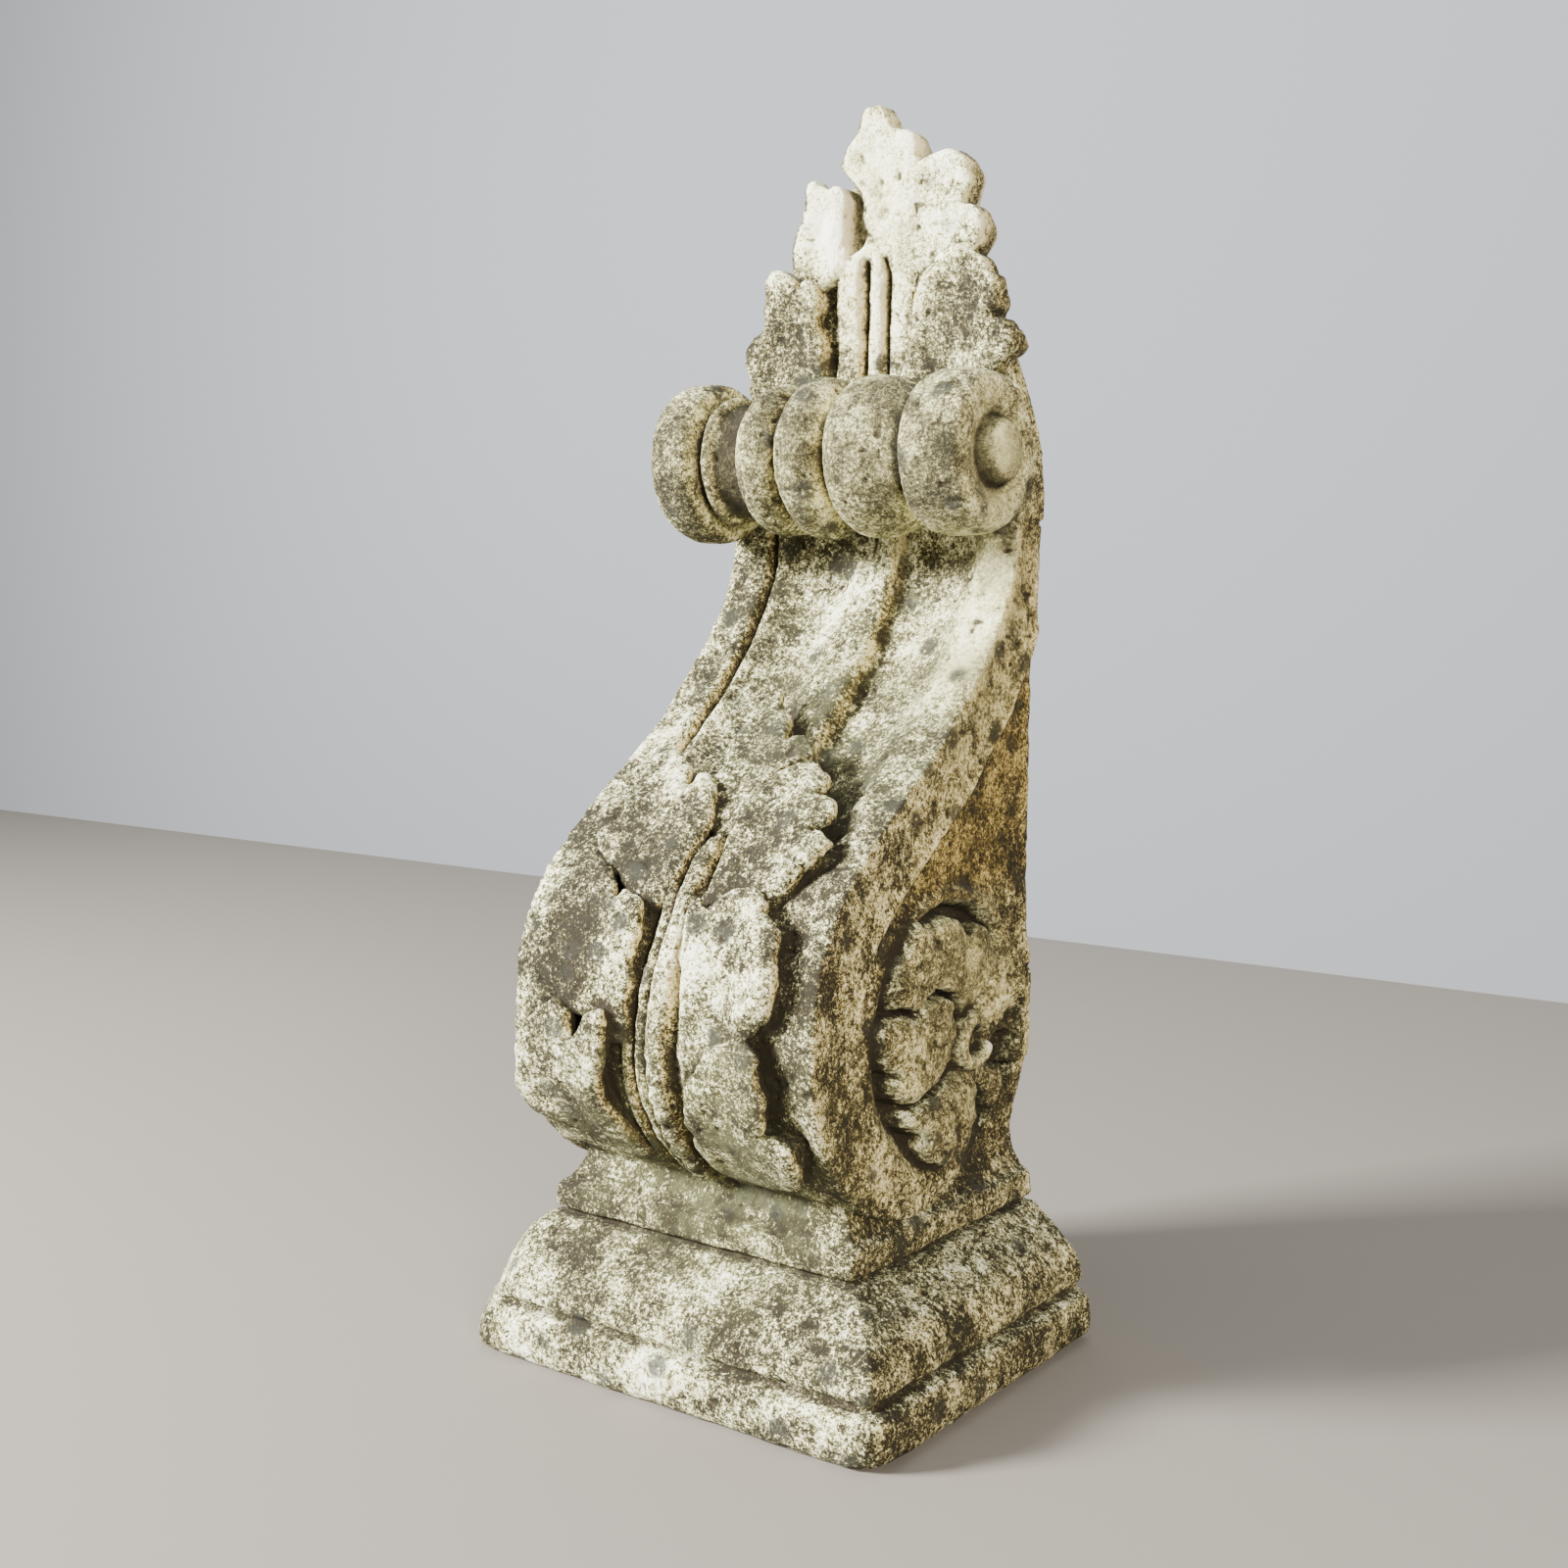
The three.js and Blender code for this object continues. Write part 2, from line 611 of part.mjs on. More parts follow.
// The lobe at the very top, as shares of the finial's height.
const FINIAL_TOP = {
  across: 0, up: 0.76, core: 0.18,
  fingers: [[0, 0.15, 0.09], [0.12, 0.08, 0.09], [-0.12, 0.08, 0.09], [0.17, -0.05, 0.08],
    [-0.17, -0.05, 0.08]],
};

// A lobe of the finial, which leans out towards the top and narrows behind its edge to the back.
function finialLobe(lobe) {
  const lean = FINIAL_LEAN * Math.max(0, lobe.up);
  const wall = FINIAL_THICKNESS + lean - LEAF_RISE;
  return lobePatch(lobe, FINIAL_HEIGHT, LEAF_RISE, wall, (x, z, out) => at(
    lobe.across * FINIAL_HEIGHT + x, wall + out, slabTop + lobe.up * FINIAL_HEIGHT + z),
  24, 0.7, FINIAL_EDGE - LEAF_RISE);
}

function finial() {
  const pieces = [finialLobe(FINIAL_TOP)];
  for (const lobe of FINIAL_LOBES) {
    const piece = finialLobe(lobe);
    pieces.push(piece, mirrored(piece));
  }
  const floor = new THREE.Shape();
  const wide = SLAB_TOP_WIDTH / 2 - FLOOR_INSET;
  floor.moveTo(wide, -FINIAL_EDGE);
  floor.quadraticCurveTo(wide * 0.8, FINIAL_HEIGHT * 0.6, 0, FINIAL_HEIGHT * 0.85);
  floor.quadraticCurveTo(-wide * 0.8, FINIAL_HEIGHT * 0.6, -wide, -FINIAL_EDGE);
  pieces.push(frontSolid(floor.getPoints(8), 0, FINIAL_FLOOR).translate(0, 0, slabTop));
  pieces.push(finialStem());
  return pieces;
}

// The finial's stem: three ridges with two round-ended flutes between them.
function finialStem() {
  const from = slabTop - SLAB_HEIGHT * STEM_LOW_SHARE;
  const to = slabTop + FINIAL_HEIGHT * STEM_HIGH_SHARE;
  const geometry = new THREE.BoxGeometry(FINIAL_STEM, FINIAL_THICKNESS, to - from);
  const centre = at(0, FINIAL_THICKNESS / 2, (from + to) / 2);
  return geometry.translate(centre.x, centre.y, centre.z);
}

function stemFlutes() {
  const from = slabTop - SLAB_HEIGHT * STEM_LOW_SHARE + FLUTE_SHORTER;
  const to = slabTop + FINIAL_HEIGHT * STEM_HIGH_SHARE - FLUTE_SHORTER;
  return [-1, 1].map((side) => {
    const geometry = new THREE.CapsuleGeometry(FLUTE_RADIUS, to - from, 3, 8);
    geometry.rotateX(Math.PI / 2);
    const centre = at(side * FINIAL_STEM / 4, FINIAL_THICKNESS, (from + to) / 2);
    return geometry.translate(centre.x, centre.y, centre.z);
  });
}

// Joining

const wasm = await Module();
wasm.setup();

// Six times the signed volume inside a mesh, negative where its faces point in.
function signedVolume(position, index) {
  let sum = 0;
  const [a, b, c] = [new THREE.Vector3(), new THREE.Vector3(), new THREE.Vector3()];
  for (let k = 0; k < index.length; k += 3) {
    a.fromBufferAttribute(position, index[k]);
    b.fromBufferAttribute(position, index[k + 1]);
    c.fromBufferAttribute(position, index[k + 2]);
    sum += a.dot(b.cross(c));
  }
  return sum;
}

// A closed geometry as a solid, with its faces turned outwards.
function solid(geometry) {
  const bare = geometry.clone();
  bare.deleteAttribute('normal');
  bare.deleteAttribute('uv');
  const merged = mergeVertices(bare, 1e-4);
  const kept = [];
  for (let k = 0; k < merged.index.count; k += 3) {
    const [a, b, c] = merged.index.array.slice(k, k + 3);
    if (a !== b && b !== c && c !== a) {
      kept.push(a, b, c);
    }
  }
  const triVerts = Uint32Array.from(kept);
  if (signedVolume(merged.attributes.position, triVerts) < 0) {
    triVerts.reverse();
  }
  const vertProperties = Float32Array.from(merged.attributes.position.array);
  return new wasm.Manifold(new wasm.Mesh({ numProp: 3, vertProperties, triVerts }));
}

function joined(start, pieces) {
  return pieces.reduce((whole, piece) => whole.add(solid(piece)), start);
}

function cut(start, pieces) {
  return pieces.reduce((whole, piece) => whole.subtract(solid(piece)), start);
}

function bracket() {
  let body = solid(sideSolid(bodyOutline(), BODY_WIDTH));
  const panels = [-1, 1].map((side) => sideSolid(panelOutline(), 2 * PANEL_DEPTH, side * half));
  const recess = disc(ROSETTE_RADIUS + RIM_WIDTH, half - RECESS_DEPTH, half + LAP);
  body = cut(joined(body, [foot()]), [fluteCutter(), ...panels]);
  body = joined(body, [rim(), mirrored(rim())]);
  body = cut(body, [recess, mirrored(recess)]);
  body = joined(body, [abacus(), slab(), roller()]);
  const carving = [...leaf(), ...rosette(), ...rosette().map(mirrored), ...finial()];
  body = cut(joined(body, carving), stemFlutes());
  const mesh = body.getMesh();
  const geometry = new THREE.BufferGeometry();
  geometry.setAttribute('position', new THREE.BufferAttribute(mesh.vertProperties, mesh.numProp));
  geometry.setIndex(new THREE.BufferAttribute(mesh.triVerts, 1));
  geometry.computeVertexNormals();
  return geometry;
}

const concrete = new THREE.MeshStandardMaterial({ color: 0xb9b5a2, roughness: 0.92, metalness: 0 });
const mesh = new THREE.Mesh(bracket(), concrete);
mesh.name = 'bracket';

const part = new THREE.Group();
part.name = 'concrete_bracket';
part.add(mesh);

export default part;
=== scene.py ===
"""A weathered cast-concrete bracket, standing upside-down on its moulded abacus.

The casting is built as a field of distances on a grid, in millimetres, with x across, "out" in front
of the flat back and z up. Its surface is then meshed, worn and pitted, and given one concrete material.
"""
import math

import bpy
import numpy as np
from mathutils import Matrix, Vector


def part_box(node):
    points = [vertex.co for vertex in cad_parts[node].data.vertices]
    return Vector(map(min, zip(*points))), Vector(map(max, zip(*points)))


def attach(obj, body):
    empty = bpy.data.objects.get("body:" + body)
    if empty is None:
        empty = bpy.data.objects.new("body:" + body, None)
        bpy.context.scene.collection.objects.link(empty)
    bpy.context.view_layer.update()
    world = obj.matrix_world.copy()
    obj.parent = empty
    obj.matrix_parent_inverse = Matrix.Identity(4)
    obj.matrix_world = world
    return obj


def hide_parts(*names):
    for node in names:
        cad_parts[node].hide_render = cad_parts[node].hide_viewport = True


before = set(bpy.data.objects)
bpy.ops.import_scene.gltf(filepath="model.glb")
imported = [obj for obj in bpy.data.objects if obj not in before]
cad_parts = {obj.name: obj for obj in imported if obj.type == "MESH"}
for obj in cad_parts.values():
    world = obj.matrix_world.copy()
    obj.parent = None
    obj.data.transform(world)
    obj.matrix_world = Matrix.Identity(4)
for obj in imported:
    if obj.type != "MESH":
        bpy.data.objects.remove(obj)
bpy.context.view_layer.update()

NODE = "bracket"
corner_low, corner_high = (np.array(corner) * 1000 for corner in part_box(NODE))
WIDTH, DEPTH, HEIGHT = (float(size) for size in corner_high - corner_low)

# The grid's cell and its margin round the part, how far the leaf may stand out before the solid, and the
# most triangles that the mesh may have.
CELL = 1.15
MARGIN = 8.0
LEAF_PROUD = 5.0
MOST_TRIANGLES = 188000

# The abacus, as insets from the plinth's sides and heights.
ABACUS_TOP = 98.0
ABACUS_PROFILE = [
    (7, 0), (3, 1.5), (0.5, 5), (0, 9), (0, 17.5), (1, 21.5), (3.6, 24), (8.4, 24.8), (9, 26.6), (6.6, 28),
    (5.4, 30.2), (6, 35), (8.4, 40.5), (12.2, 46), (17, 51), (21.6, 54.6), (26, 57.4), (29.4, 59.8),
    (31.2, 61.4), (32.2, 62.8), (39, 63.2), (39.6, 65.2), (36.2, 66), (35.2, 67.4), (35.4, 75.6),
    (36.6, 78), (40, 79.6), (43, 84), (45.6, 90), (48, 98),
]

# The body's side, as in the solid: the volute from this turn in degrees, and the S-curve's waist and neck.
# The curve's handles are shares of its rise below and above the waist.
BODY_HALF = 85.5
VOLUTE_OUT = 104.5
VOLUTE_UP = 165.0
VOLUTE_RADIUS = 83.0
VOLUTE_FROM = -160
WAIST = (99.0, 287.0)
WAIST_SLOPE = 53.6
NECK = (22.0, 390.0)
NECK_END = 420.0
LOWER_HANDLES = (0.505, 0.594)
UPPER_HANDLES = (0.361, 0.31)
BODY_TOP = 412.0

# The foot below the volute: its half-width, its lowest and highest place, and where it flares.
FOOT_HALF = 75.0
FOOT_SPAN = (70, 160)
FLARE_SPAN = (96, 158)

# Flutes of the upper front from left to right, as (x, depth): a groove and a bead beside the margin, a
# cove, the rib with its sharp right edge, and a plain cove.
FLUTES = [
    (-90, 0), (-64, 0), (-62.6, -0.4), (-61.6, -6.4), (-59, -6.6), (-57.4, -1.8), (-55, -0.3), (-51.5, -0.4),
    (-49.5, -2.8), (-47, -3.4), (-43, -5.4), (-35, -7.8), (-26, -8.4), (-18, -7.4), (-12, -4.8), (-8, -2.6),
    (-2, -1.9), (4, -1.0), (10, -0.2), (13, -0.2), (15, -1.4), (16.4, -7.6), (19, -9.8), (26, -10.6),
    (38, -10), (49, -7.8), (57, -4.2), (61.5, -1.5), (65, 0), (90, 0),
]
FLUTE_FROM = 200.0
FLUTE_FADE = 76.0

# Sides: the panel behind the S-band, the recess and its rosette.
BAND_WIDTH = 36.0
PANEL_DEPTH = 3.4
ROSETTE = (78.0, 161.0)
RECESS_RADIUS = 60.0
RECESS_DEPTH = 10.0

# Roller across the neck.
ROLLER_OUT = 48.5
ROLLER_UP = 429.0
ROLLER_RADIUS = 40.0
ROLLER_HALF = 88.6

# Slab behind the roller, and the finial.
SLAB_OUT = 21.0
FLOOR_OUT = 14.0


# Grid

def spaced(first, last):
    """Evenly spaced places that reach from first to last."""
    count = int(math.ceil((last - first) / CELL)) + 1
    middle = (first + last) / 2
    return (middle + CELL * (np.arange(count) - (count - 1) / 2)).astype(np.float32)


def crossed(*axes):
    """Every place of the axes' grid."""
    return np.meshgrid(*axes, indexing="ij")


ACROSS = spaced(-WIDTH / 2 - MARGIN, WIDTH / 2 + MARGIN)
OUT = spaced(-MARGIN, DEPTH + MARGIN)
UP = spaced(-MARGIN, HEIGHT + MARGIN)
GRID_START = np.array([ACROSS[0], OUT[0], UP[0]])


def ease(value, low, high):
    """0 below low, 1 above high, and a smooth rise between."""
    t = np.clip((value - low) / (high - low), 0, 1)
    return t * t * (3 - 2 * t)


def bump(value, width, middle=0):
    """1 at the middle, falling smoothly to nothing over a few widths."""
    return np.exp(-((value - middle) / width) ** 2)


def soft_max(a, b, reach):
    """The greater of two, with a rounded join where they are within the reach of each other."""
    t = np.clip(0.5 + 0.5 * (a - b) / reach, 0, 1)
    return b + (a - b) * t + reach * t * (1 - t)


def soft_min(a, b, reach):
    return -soft_max(-a, -b, reach)


def nearest_on(px, py, line):
    """Distance to an open line of points, and the length along it of the nearest place."""
    best = np.full(px.shape, 1e9, np.float32)
    along = np.zeros(px.shape, np.float32)
    passed = 0.0
    for (x0, y0), (x1, y1) in zip(line[:-1], line[1:]):
        dx, dy = x1 - x0, y1 - y0
        length = math.hypot(dx, dy)
        t = np.clip(((px - x0) * dx + (py - y0) * dy) / (length * length), 0, 1)
        gap = np.hypot(px - x0 - t * dx, py - y0 - t * dy)
        nearer = gap < best
        best = np.where(nearer, gap, best)
        along = np.where(nearer, passed + t * length, along)
        passed += length
    return best, along


def inside(px, py, outline):
    """True within a closed outline."""
    within = np.zeros(px.shape, bool)
    for (x0, y0), (x1, y1) in zip(outline, outline[1:] + outline[:1]):
        if y0 == y1:
            continue
        crosses = (y0 > py) != (y1 > py)
        within ^= crosses & (px < x0 + (py - y0) * (x1 - x0) / (y1 - y0))
    return within


def outline_field(px, py, outline):
    """Distance into a closed outline, negative outside."""
    gap, _ = nearest_on(px, py, outline + outline[:1])
    return np.where(inside(px, py, outline), gap, -gap)


def stroke(px, py, x0, y0, x1, y1, r0, r1):
    """Distance into a round-ended stroke that tapers from r0 to r1."""
    dx, dy = x1 - x0, y1 - y0
    t = np.clip(((px - x0) * dx + (py - y0) * dy) / (dx * dx + dy * dy), 0, 1)
    return r0 + (r1 - r0) * t - np.hypot(px - x0 - t * dx, py - y0 - t * dy)


# Front

def bezier(a, b, c, d, steps):
    t = np.linspace(0, 1, steps)[:, None]
    return (1 - t) ** 3 * a + 3 * (1 - t) ** 2 * t * b + 3 * (1 - t) * t * t * c + t ** 3 * d


def front_line():
    """The front in (out, up), from behind the volute's foot to the neck, and the length to the foot."""
    turns = np.radians(np.linspace(VOLUTE_FROM, 0, 60))
    volute = np.stack([VOLUTE_OUT + VOLUTE_RADIUS * np.cos(turns),
                       VOLUTE_UP + VOLUTE_RADIUS * np.sin(turns)], 1)
    shoulder, waist, neck = volute[-1], np.array(WAIST), np.array(NECK)
    slope = math.radians(WAIST_SLOPE)
    down = np.array([math.sin(slope), -math.cos(slope)])
    rise = waist[1] - VOLUTE_UP
    climb = neck[1] - waist[1]
    first, last = LOWER_HANDLES
    lower = bezier(shoulder, shoulder + [0, rise * first], waist + down * rise * last, waist, 50)
    first, last = UPPER_HANDLES
    upper = bezier(waist, waist - down * climb * first, neck - [0, climb * last], neck, 30)
    line = np.vstack([volute, lower[1:], upper[1:], [neck[0], NECK_END]])
    return [tuple(point) for point in line], VOLUTE_RADIUS * math.radians(-90 - VOLUTE_FROM)


FRONT, FOOT_LENGTH = front_line()
side_out, side_up = crossed(OUT, UP)
front_gap, front_along = nearest_on(side_out, side_up, FRONT)
front_along -= FOOT_LENGTH

# The body's outline is closed well behind its back.
BEHIND = -60
body_outline = FRONT + [(BEHIND, NECK_END), (BEHIND, FRONT[0][1])]
front_in = np.where(inside(side_out, side_up, body_outline), front_gap, -front_gap)

# Relief on the front is drawn flat, across by the length up from the volute's foot.
LENGTHS = np.arange(-80, 440, 1.0, dtype=np.float32)
flat_x, flat_s = crossed(ACROSS, LENGTHS)


def rounded(points, steps=4):
    """A closed outline of straight sides, turned into a smooth closed curve through its points."""
    places = np.array(points, float)
    before, after, beyond = np.roll(places, 1, 0), np.roll(places, -1, 0), np.roll(places, -2, 0)
    curve = []
    for a, b, c, d in zip(before, places, after, beyond):
        for t in np.arange(steps) / steps:
            curve.append(0.5 * (2 * b + (c - a) * t + (2 * a - 5 * b + 4 * c - d) * t * t
                                + (3 * b - a - 3 * c + d) * t ** 3))
    return [tuple(map(float, point)) for point in curve]


# Each leaf lobe: its root and its tip, how far the tip stands out, and its outline, all as
# (x, length up the front). Negative x is left.
LEAF = [
    ((-12, 188), (-42, 268), 11.0, [
        (-14, 188), (-5, 200), (-3, 216), (-1, 234), (-6, 248), (-12, 258), (-19, 262), (-24, 260),
        (-24, 253), (-29, 263), (-37, 271), (-47, 277), (-54, 275), (-59, 268), (-59, 261), (-54, 252),
        (-51, 242), (-61, 242), (-66, 234), (-63, 223), (-53, 212), (-42, 204), (-30, 196)]),
    ((24, 188), (36, 275), 11.0, [
        (14, 192), (16, 207), (15, 225), (12, 239), (14, 251), (17, 259), (19, 271), (24, 277), (32, 275),
        (43, 269), (51, 260), (49, 253), (56, 253), (62, 246), (62, 238), (55, 231), (60, 233), (66, 231),
        (69, 225), (64, 215), (59, 207), (54, 198), (44, 190), (28, 186)]),
    ((-18, 130), (-52, 200), 10.0, [
        (-18, 128), (-14, 143), (-13, 156), (-12, 170), (-11, 180), (-13, 187), (-18, 192), (-24, 193),
        (-28, 189), (-32, 194), (-38, 202), (-47, 205), (-54, 205), (-59, 200), (-62, 192), (-67, 184),
        (-71, 176), (-73, 167), (-69, 158), (-62, 150), (-50, 142), (-38, 133), (-27, 126)]),
    ((22, 122), (44, 196), 10.5, [
        (14, 122), (17, 136), (19, 150), (18, 165), (15, 180), (15, 188), (19, 193), (24, 188), (28, 194),
        (35, 199), (43, 199), (52, 196), (56, 189), (61, 188), (65, 184), (66, 175), (70, 165), (68, 154),
        (62, 145), (55, 138), (46, 131), (34, 123), (22, 118)]),
    ((-28, 62), (-48, 138), 11.0, [
        (-20, 62), (-23, 78), (-27, 92), (-28, 103), (-25, 113), (-22, 125), (-21, 136), (-25, 142),
        (-32, 139), (-38, 131), (-41, 129), (-44, 137), (-50, 142), (-57, 142), (-63, 137), (-69, 131),
        (-75, 124), (-78, 113), (-80, 102), (-78, 91), (-69, 83), (-55, 77), (-44, 67), (-32, 57)]),
    ((24, 66), (54, 134), 11.5, [
        (15, 68), (16, 82), (18, 96), (20, 108), (26, 119), (33, 127), (38, 134), (46, 138), (56, 139),
        (64, 135), (63, 127), (67, 117), (66, 106), (62, 100), (68, 101), (75, 96), (76, 86), (71, 74),
        (62, 65), (50, 60), (36, 58), (24, 58)]),
    ((-4, 236), (-13, 318), 10.0, [
        (-14, 236), (-18, 262), (-21, 286), (-19, 304), (-14, 322), (-10, 322), (-5, 312), (1, 308),
        (6, 302), (7, 296), (9, 290), (15, 292), (22, 291), (28, 285), (30, 279), (24, 271), (17, 262),
        (12, 238)]),
]

# A lobe's relief, as steps of (height, low, high) in from its edge: a rounded rim and a dished middle. Past
# LOBE_FREE of its length it is a thin plate that stands clear.
LOBE_THICK = 4.5
LOBE_ROOT = 1.5
LOBE_CLIMB = (-0.15, 0.75)
LOBE_RIM = (1.6, -0.5, 6)
LOBE_DISH = (2.0, 6, 17)
LOBE_UNDERSIDE = (9, 0, 5)
LOBE_FREE = 0.3
LOBE_SUNK = 6.0


def between(table, px, py, smooth=False):
    """A 2-D table read between its cells, at places in cells."""
    ix, iy = px.astype(int), py.astype(int)
    fx, fy = px - ix, py - iy
    if smooth:
        fx, fy = ease(fx, 0, 1), ease(fy, 0, 1)
    low = table[ix, iy] * (1 - fx) + table[ix + 1, iy] * fx
    high = table[ix, iy + 1] * (1 - fx) + table[ix + 1, iy + 1] * fx
    return low * (1 - fy) + high * fy


def lumps(px, py, pitch, height, seed):
    """Smooth seeded lumps over a plane, about a pitch across."""
    level = np.random.default_rng(seed).uniform(-height, height, (64, 64)).astype(np.float32)
    return between(level, np.mod(px / pitch, 62), np.mod(py / pitch, 62), True)


def chips(px, py, height, seed):
    """How far an outline's edge wanders where the cast is chipped."""
    return lumps(px, py, 6.5, height, seed) + lumps(px, py, 3.4, 0.6 * height, seed + 1)


def step_up(value, step):
    """The rise of a step, given as (height, low, high), at the value."""
    height, low, high = step
    return height * ease(value, low, high)


def cut_round(edge, top, depth, width):
    """The most that anything beside a raised outline may stand, which leaves a thin ditch round it."""
    return np.where(edge < 0, top - depth + 60 * ease(-edge, width, width + 5), 1e3)


LEAF_CHIPS = chips(flat_x, flat_s, 1.5, 31)


def along_lobe(root, tip):
    """Each place's share of the way from a lobe's root to its tip."""
    way_x, way_s = tip[0] - root[0], tip[1] - root[1]
    return ((flat_x - root[0]) * way_x + (flat_s - root[1]) * way_s) / (way_x ** 2 + way_s ** 2)


def lobe_layers(root, tip, rise, outline):
    """A lobe's edge field, its top and its underside, drawn flat on the front."""
    edge = outline_field(flat_x, flat_s, rounded(outline)) + LEAF_CHIPS
    share = along_lobe(root, tip)
    top = LOBE_ROOT + (rise - LOBE_ROOT) * ease(share, *LOBE_CLIMB)
    top = top + step_up(edge, LOBE_RIM) - step_up(edge, LOBE_DISH)
    under = np.where(share > LOBE_FREE, top - LOBE_THICK - step_up(edge, LOBE_UNDERSIDE), -LOBE_SUNK)
    return edge, top, under


# The shallow ditch round each lobe, over these shares of its length, and the sharp one round its raised
# end, as (depth, width).
DITCH_DEPTH = 2.4
DITCH_WIDTH = 4.5
DITCH_CLIMB = (0.15, 0.5)
SHARP_DITCH = (4.0, 1.8)
SHARP_DITCH_FROM = 0.6

# The leaf's stem: where its beaded strip runs, as (length up the front, x), and the section across it,
# with two grooves and two ridges on its left.
STEM_LINE = ([50, 80, 104, 125, 146, 166, 186, 210, 240, 262], [6, 4, 3, 3, 5, 7, 8, 6, 3, 0])
STEM_SECTION = (
    [-28, -25.6, -24, -22.6, -21.2, -19.8, -18, -16.2, -14.8, -12.5, -10.2, -8.8, -7.4, -4.8, -1, 2.8, 4.8,
     6.6, 9.4, 12],
    [0, -1.6, -1.8, 0.8, 1.6, -0.6, -4.2, -3.6, 0.6, 2.0, 0.8, -1.8, 1.6, 4.6, 5.4, 4.4, 0.6, -2.4, -2.2, 0])
STEM_SPAN = (40, 266)
BEAD_PITCH = 10.0
BEAD_HEIGHT = 3.2
BEAD_ROUND = 0.45
BEADS_END = 160


def stem_relief():
    """The leaf's midrib: a beaded strip beside grooves and thin ridges."""
    away = flat_x - np.interp(flat_s, *STEM_LINE)
    relief = np.interp(away, *STEM_SECTION)
    bead = np.abs(np.sin(np.pi * flat_s / BEAD_PITCH)) ** BEAD_ROUND - 0.8
    relief += BEAD_HEIGHT * bead * ease(6.4 - np.abs(away + 1), 0, 2.0) * ease(BEADS_END - flat_s, 0, 50)
    return relief * ease(flat_s, STEM_SPAN[0], STEM_SPAN[0] + 20) * ease(STEM_SPAN[1] - flat_s, 0, 50)


def ditch_relief():
    """A shallow ditch in the ground round each lobe, deepest by its tip."""
    relief = np.zeros(flat_x.shape, np.float32)
    for root, tip, _, outline in LEAF:
        edge = outline_field(flat_x, flat_s, rounded(outline))
        ditch = DITCH_DEPTH * bump(np.minimum(edge, 0), DITCH_WIDTH)
        relief = np.minimum(relief, -ditch * ease(along_lobe(root, tip), *DITCH_CLIMB))
    return relief


def ground_relief():
    """The front's own surface: flutes above, the stem below, and the ditches."""
    fade = ease(flat_s, FLUTE_FROM, FLUTE_FROM + FLUTE_FADE)
    depth = np.interp(flat_x, *zip(*FLUTES))
    return depth * fade + stem_relief() + ditch_relief()


# The front is carved in the cells this near to it and below this height. A lobe's rim is rounded so much.
CARVED_DEPTH = 16
CARVED_TOP = 408.0
RIM_ROUND = 1.2


def front_casting(field):
    """Carves the front of the body in the field, in the band of cells that lies along it."""
    band_o, band_u = np.nonzero((np.abs(front_in) < CARVED_DEPTH) & (side_up < CARVED_TOP))
    rise = -front_in[band_o, band_u]
    length = front_along[band_o, band_u] - LENGTHS[0]
    cell = np.clip(length.astype(int), 0, len(LENGTHS) - 2)
    part = (length - cell).astype(np.float32)

    def on_band(flat):
        return flat[:, cell] * (1 - part) + flat[:, cell + 1] * part

    back = OUT[band_o]
    sides = SIDE_HALF[band_o, band_u] - np.abs(ACROSS)[:, None]
    values = np.minimum(np.minimum(on_band(ground_relief()) - rise, sides), back)
    for root, tip, high, outline in LEAF:
        edge, top, under = (on_band(layer) for layer in lobe_layers(root, tip, high, outline))
        plate = soft_min(np.minimum(top - rise, rise - under), edge, RIM_ROUND)
        ditch = cut_round(edge, np.maximum(top, 2.5), *SHARP_DITCH)
        values = np.where(top > SHARP_DITCH_FROM * high, np.minimum(values, ditch - rise), values)
        values = np.maximum(values, plate)
    field[:, band_o, band_u] = values


# Sides

# The rosette's petals, in (out, up): how far each one's rim stands above the side, and its outline.
PETALS = [
    (-2.5, [(48, 160), (33, 158), (22, 160), (11, 159), (4, 162), (5, 175), (9, 188), (18, 200), (33, 207),
            (40, 200), (41, 188), (46, 176), (54, 166)]),
    (-1.0, [(58, 146), (46, 141), (32, 139), (21, 134), (11, 129), (11, 121), (20, 113), (31, 111),
            (41, 117), (47, 128), (54, 138)]),
    (3.0, [(60, 160), (80, 164), (104, 170), (124, 174), (132, 180), (133, 189), (128, 200), (122, 207),
           (117, 212), (111, 217), (104, 215), (92, 217), (81, 216), (72, 212), (66, 205), (60, 209),
           (53, 209), (46, 203), (41, 195), (42, 186), (46, 178), (51, 170)]),
    (4.5, [(62, 148), (80, 143), (95, 139), (111, 136), (119, 131), (118, 125), (107, 120), (108, 112),
           (99, 105), (88, 101), (76, 102), (66, 106), (61, 114), (57, 122), (55, 130), (58, 140)]),
    (5.0, [(66, 150), (68, 158), (70, 164), (76, 170), (86, 178), (96, 182), (104, 181), (110, 178),
           (114, 174), (121, 177), (130, 178), (139, 177), (145, 173), (144, 166), (140, 160), (134, 154),
           (127, 151), (132, 148), (131, 142), (124, 138), (116, 136), (107, 138), (92, 143), (78, 146)]),
]
CURL = [(53, 161), (57, 165), (64, 166), (71, 162), (74, 156), (73, 150), (68, 146), (61, 145), (54, 146),
        (50, 150)]
CURL_RADIUS = 3.6
CURL_RISE = 7.0
CURL_CENTRE = (63.0, 155.0)

# The petals start at this share of their height and rise over these distances from the curl.
PETAL_CLIMB = (4, 38)
PETAL_ROOT = 0.45
PETAL_CROWN = 4.6
PETAL_CROWN_REACH = 15.0
PETAL_EDGE = (16, -1.2, 1.0)
PETAL_DITCH = (8.0, 2.2)
FAR_BELOW = -40.0

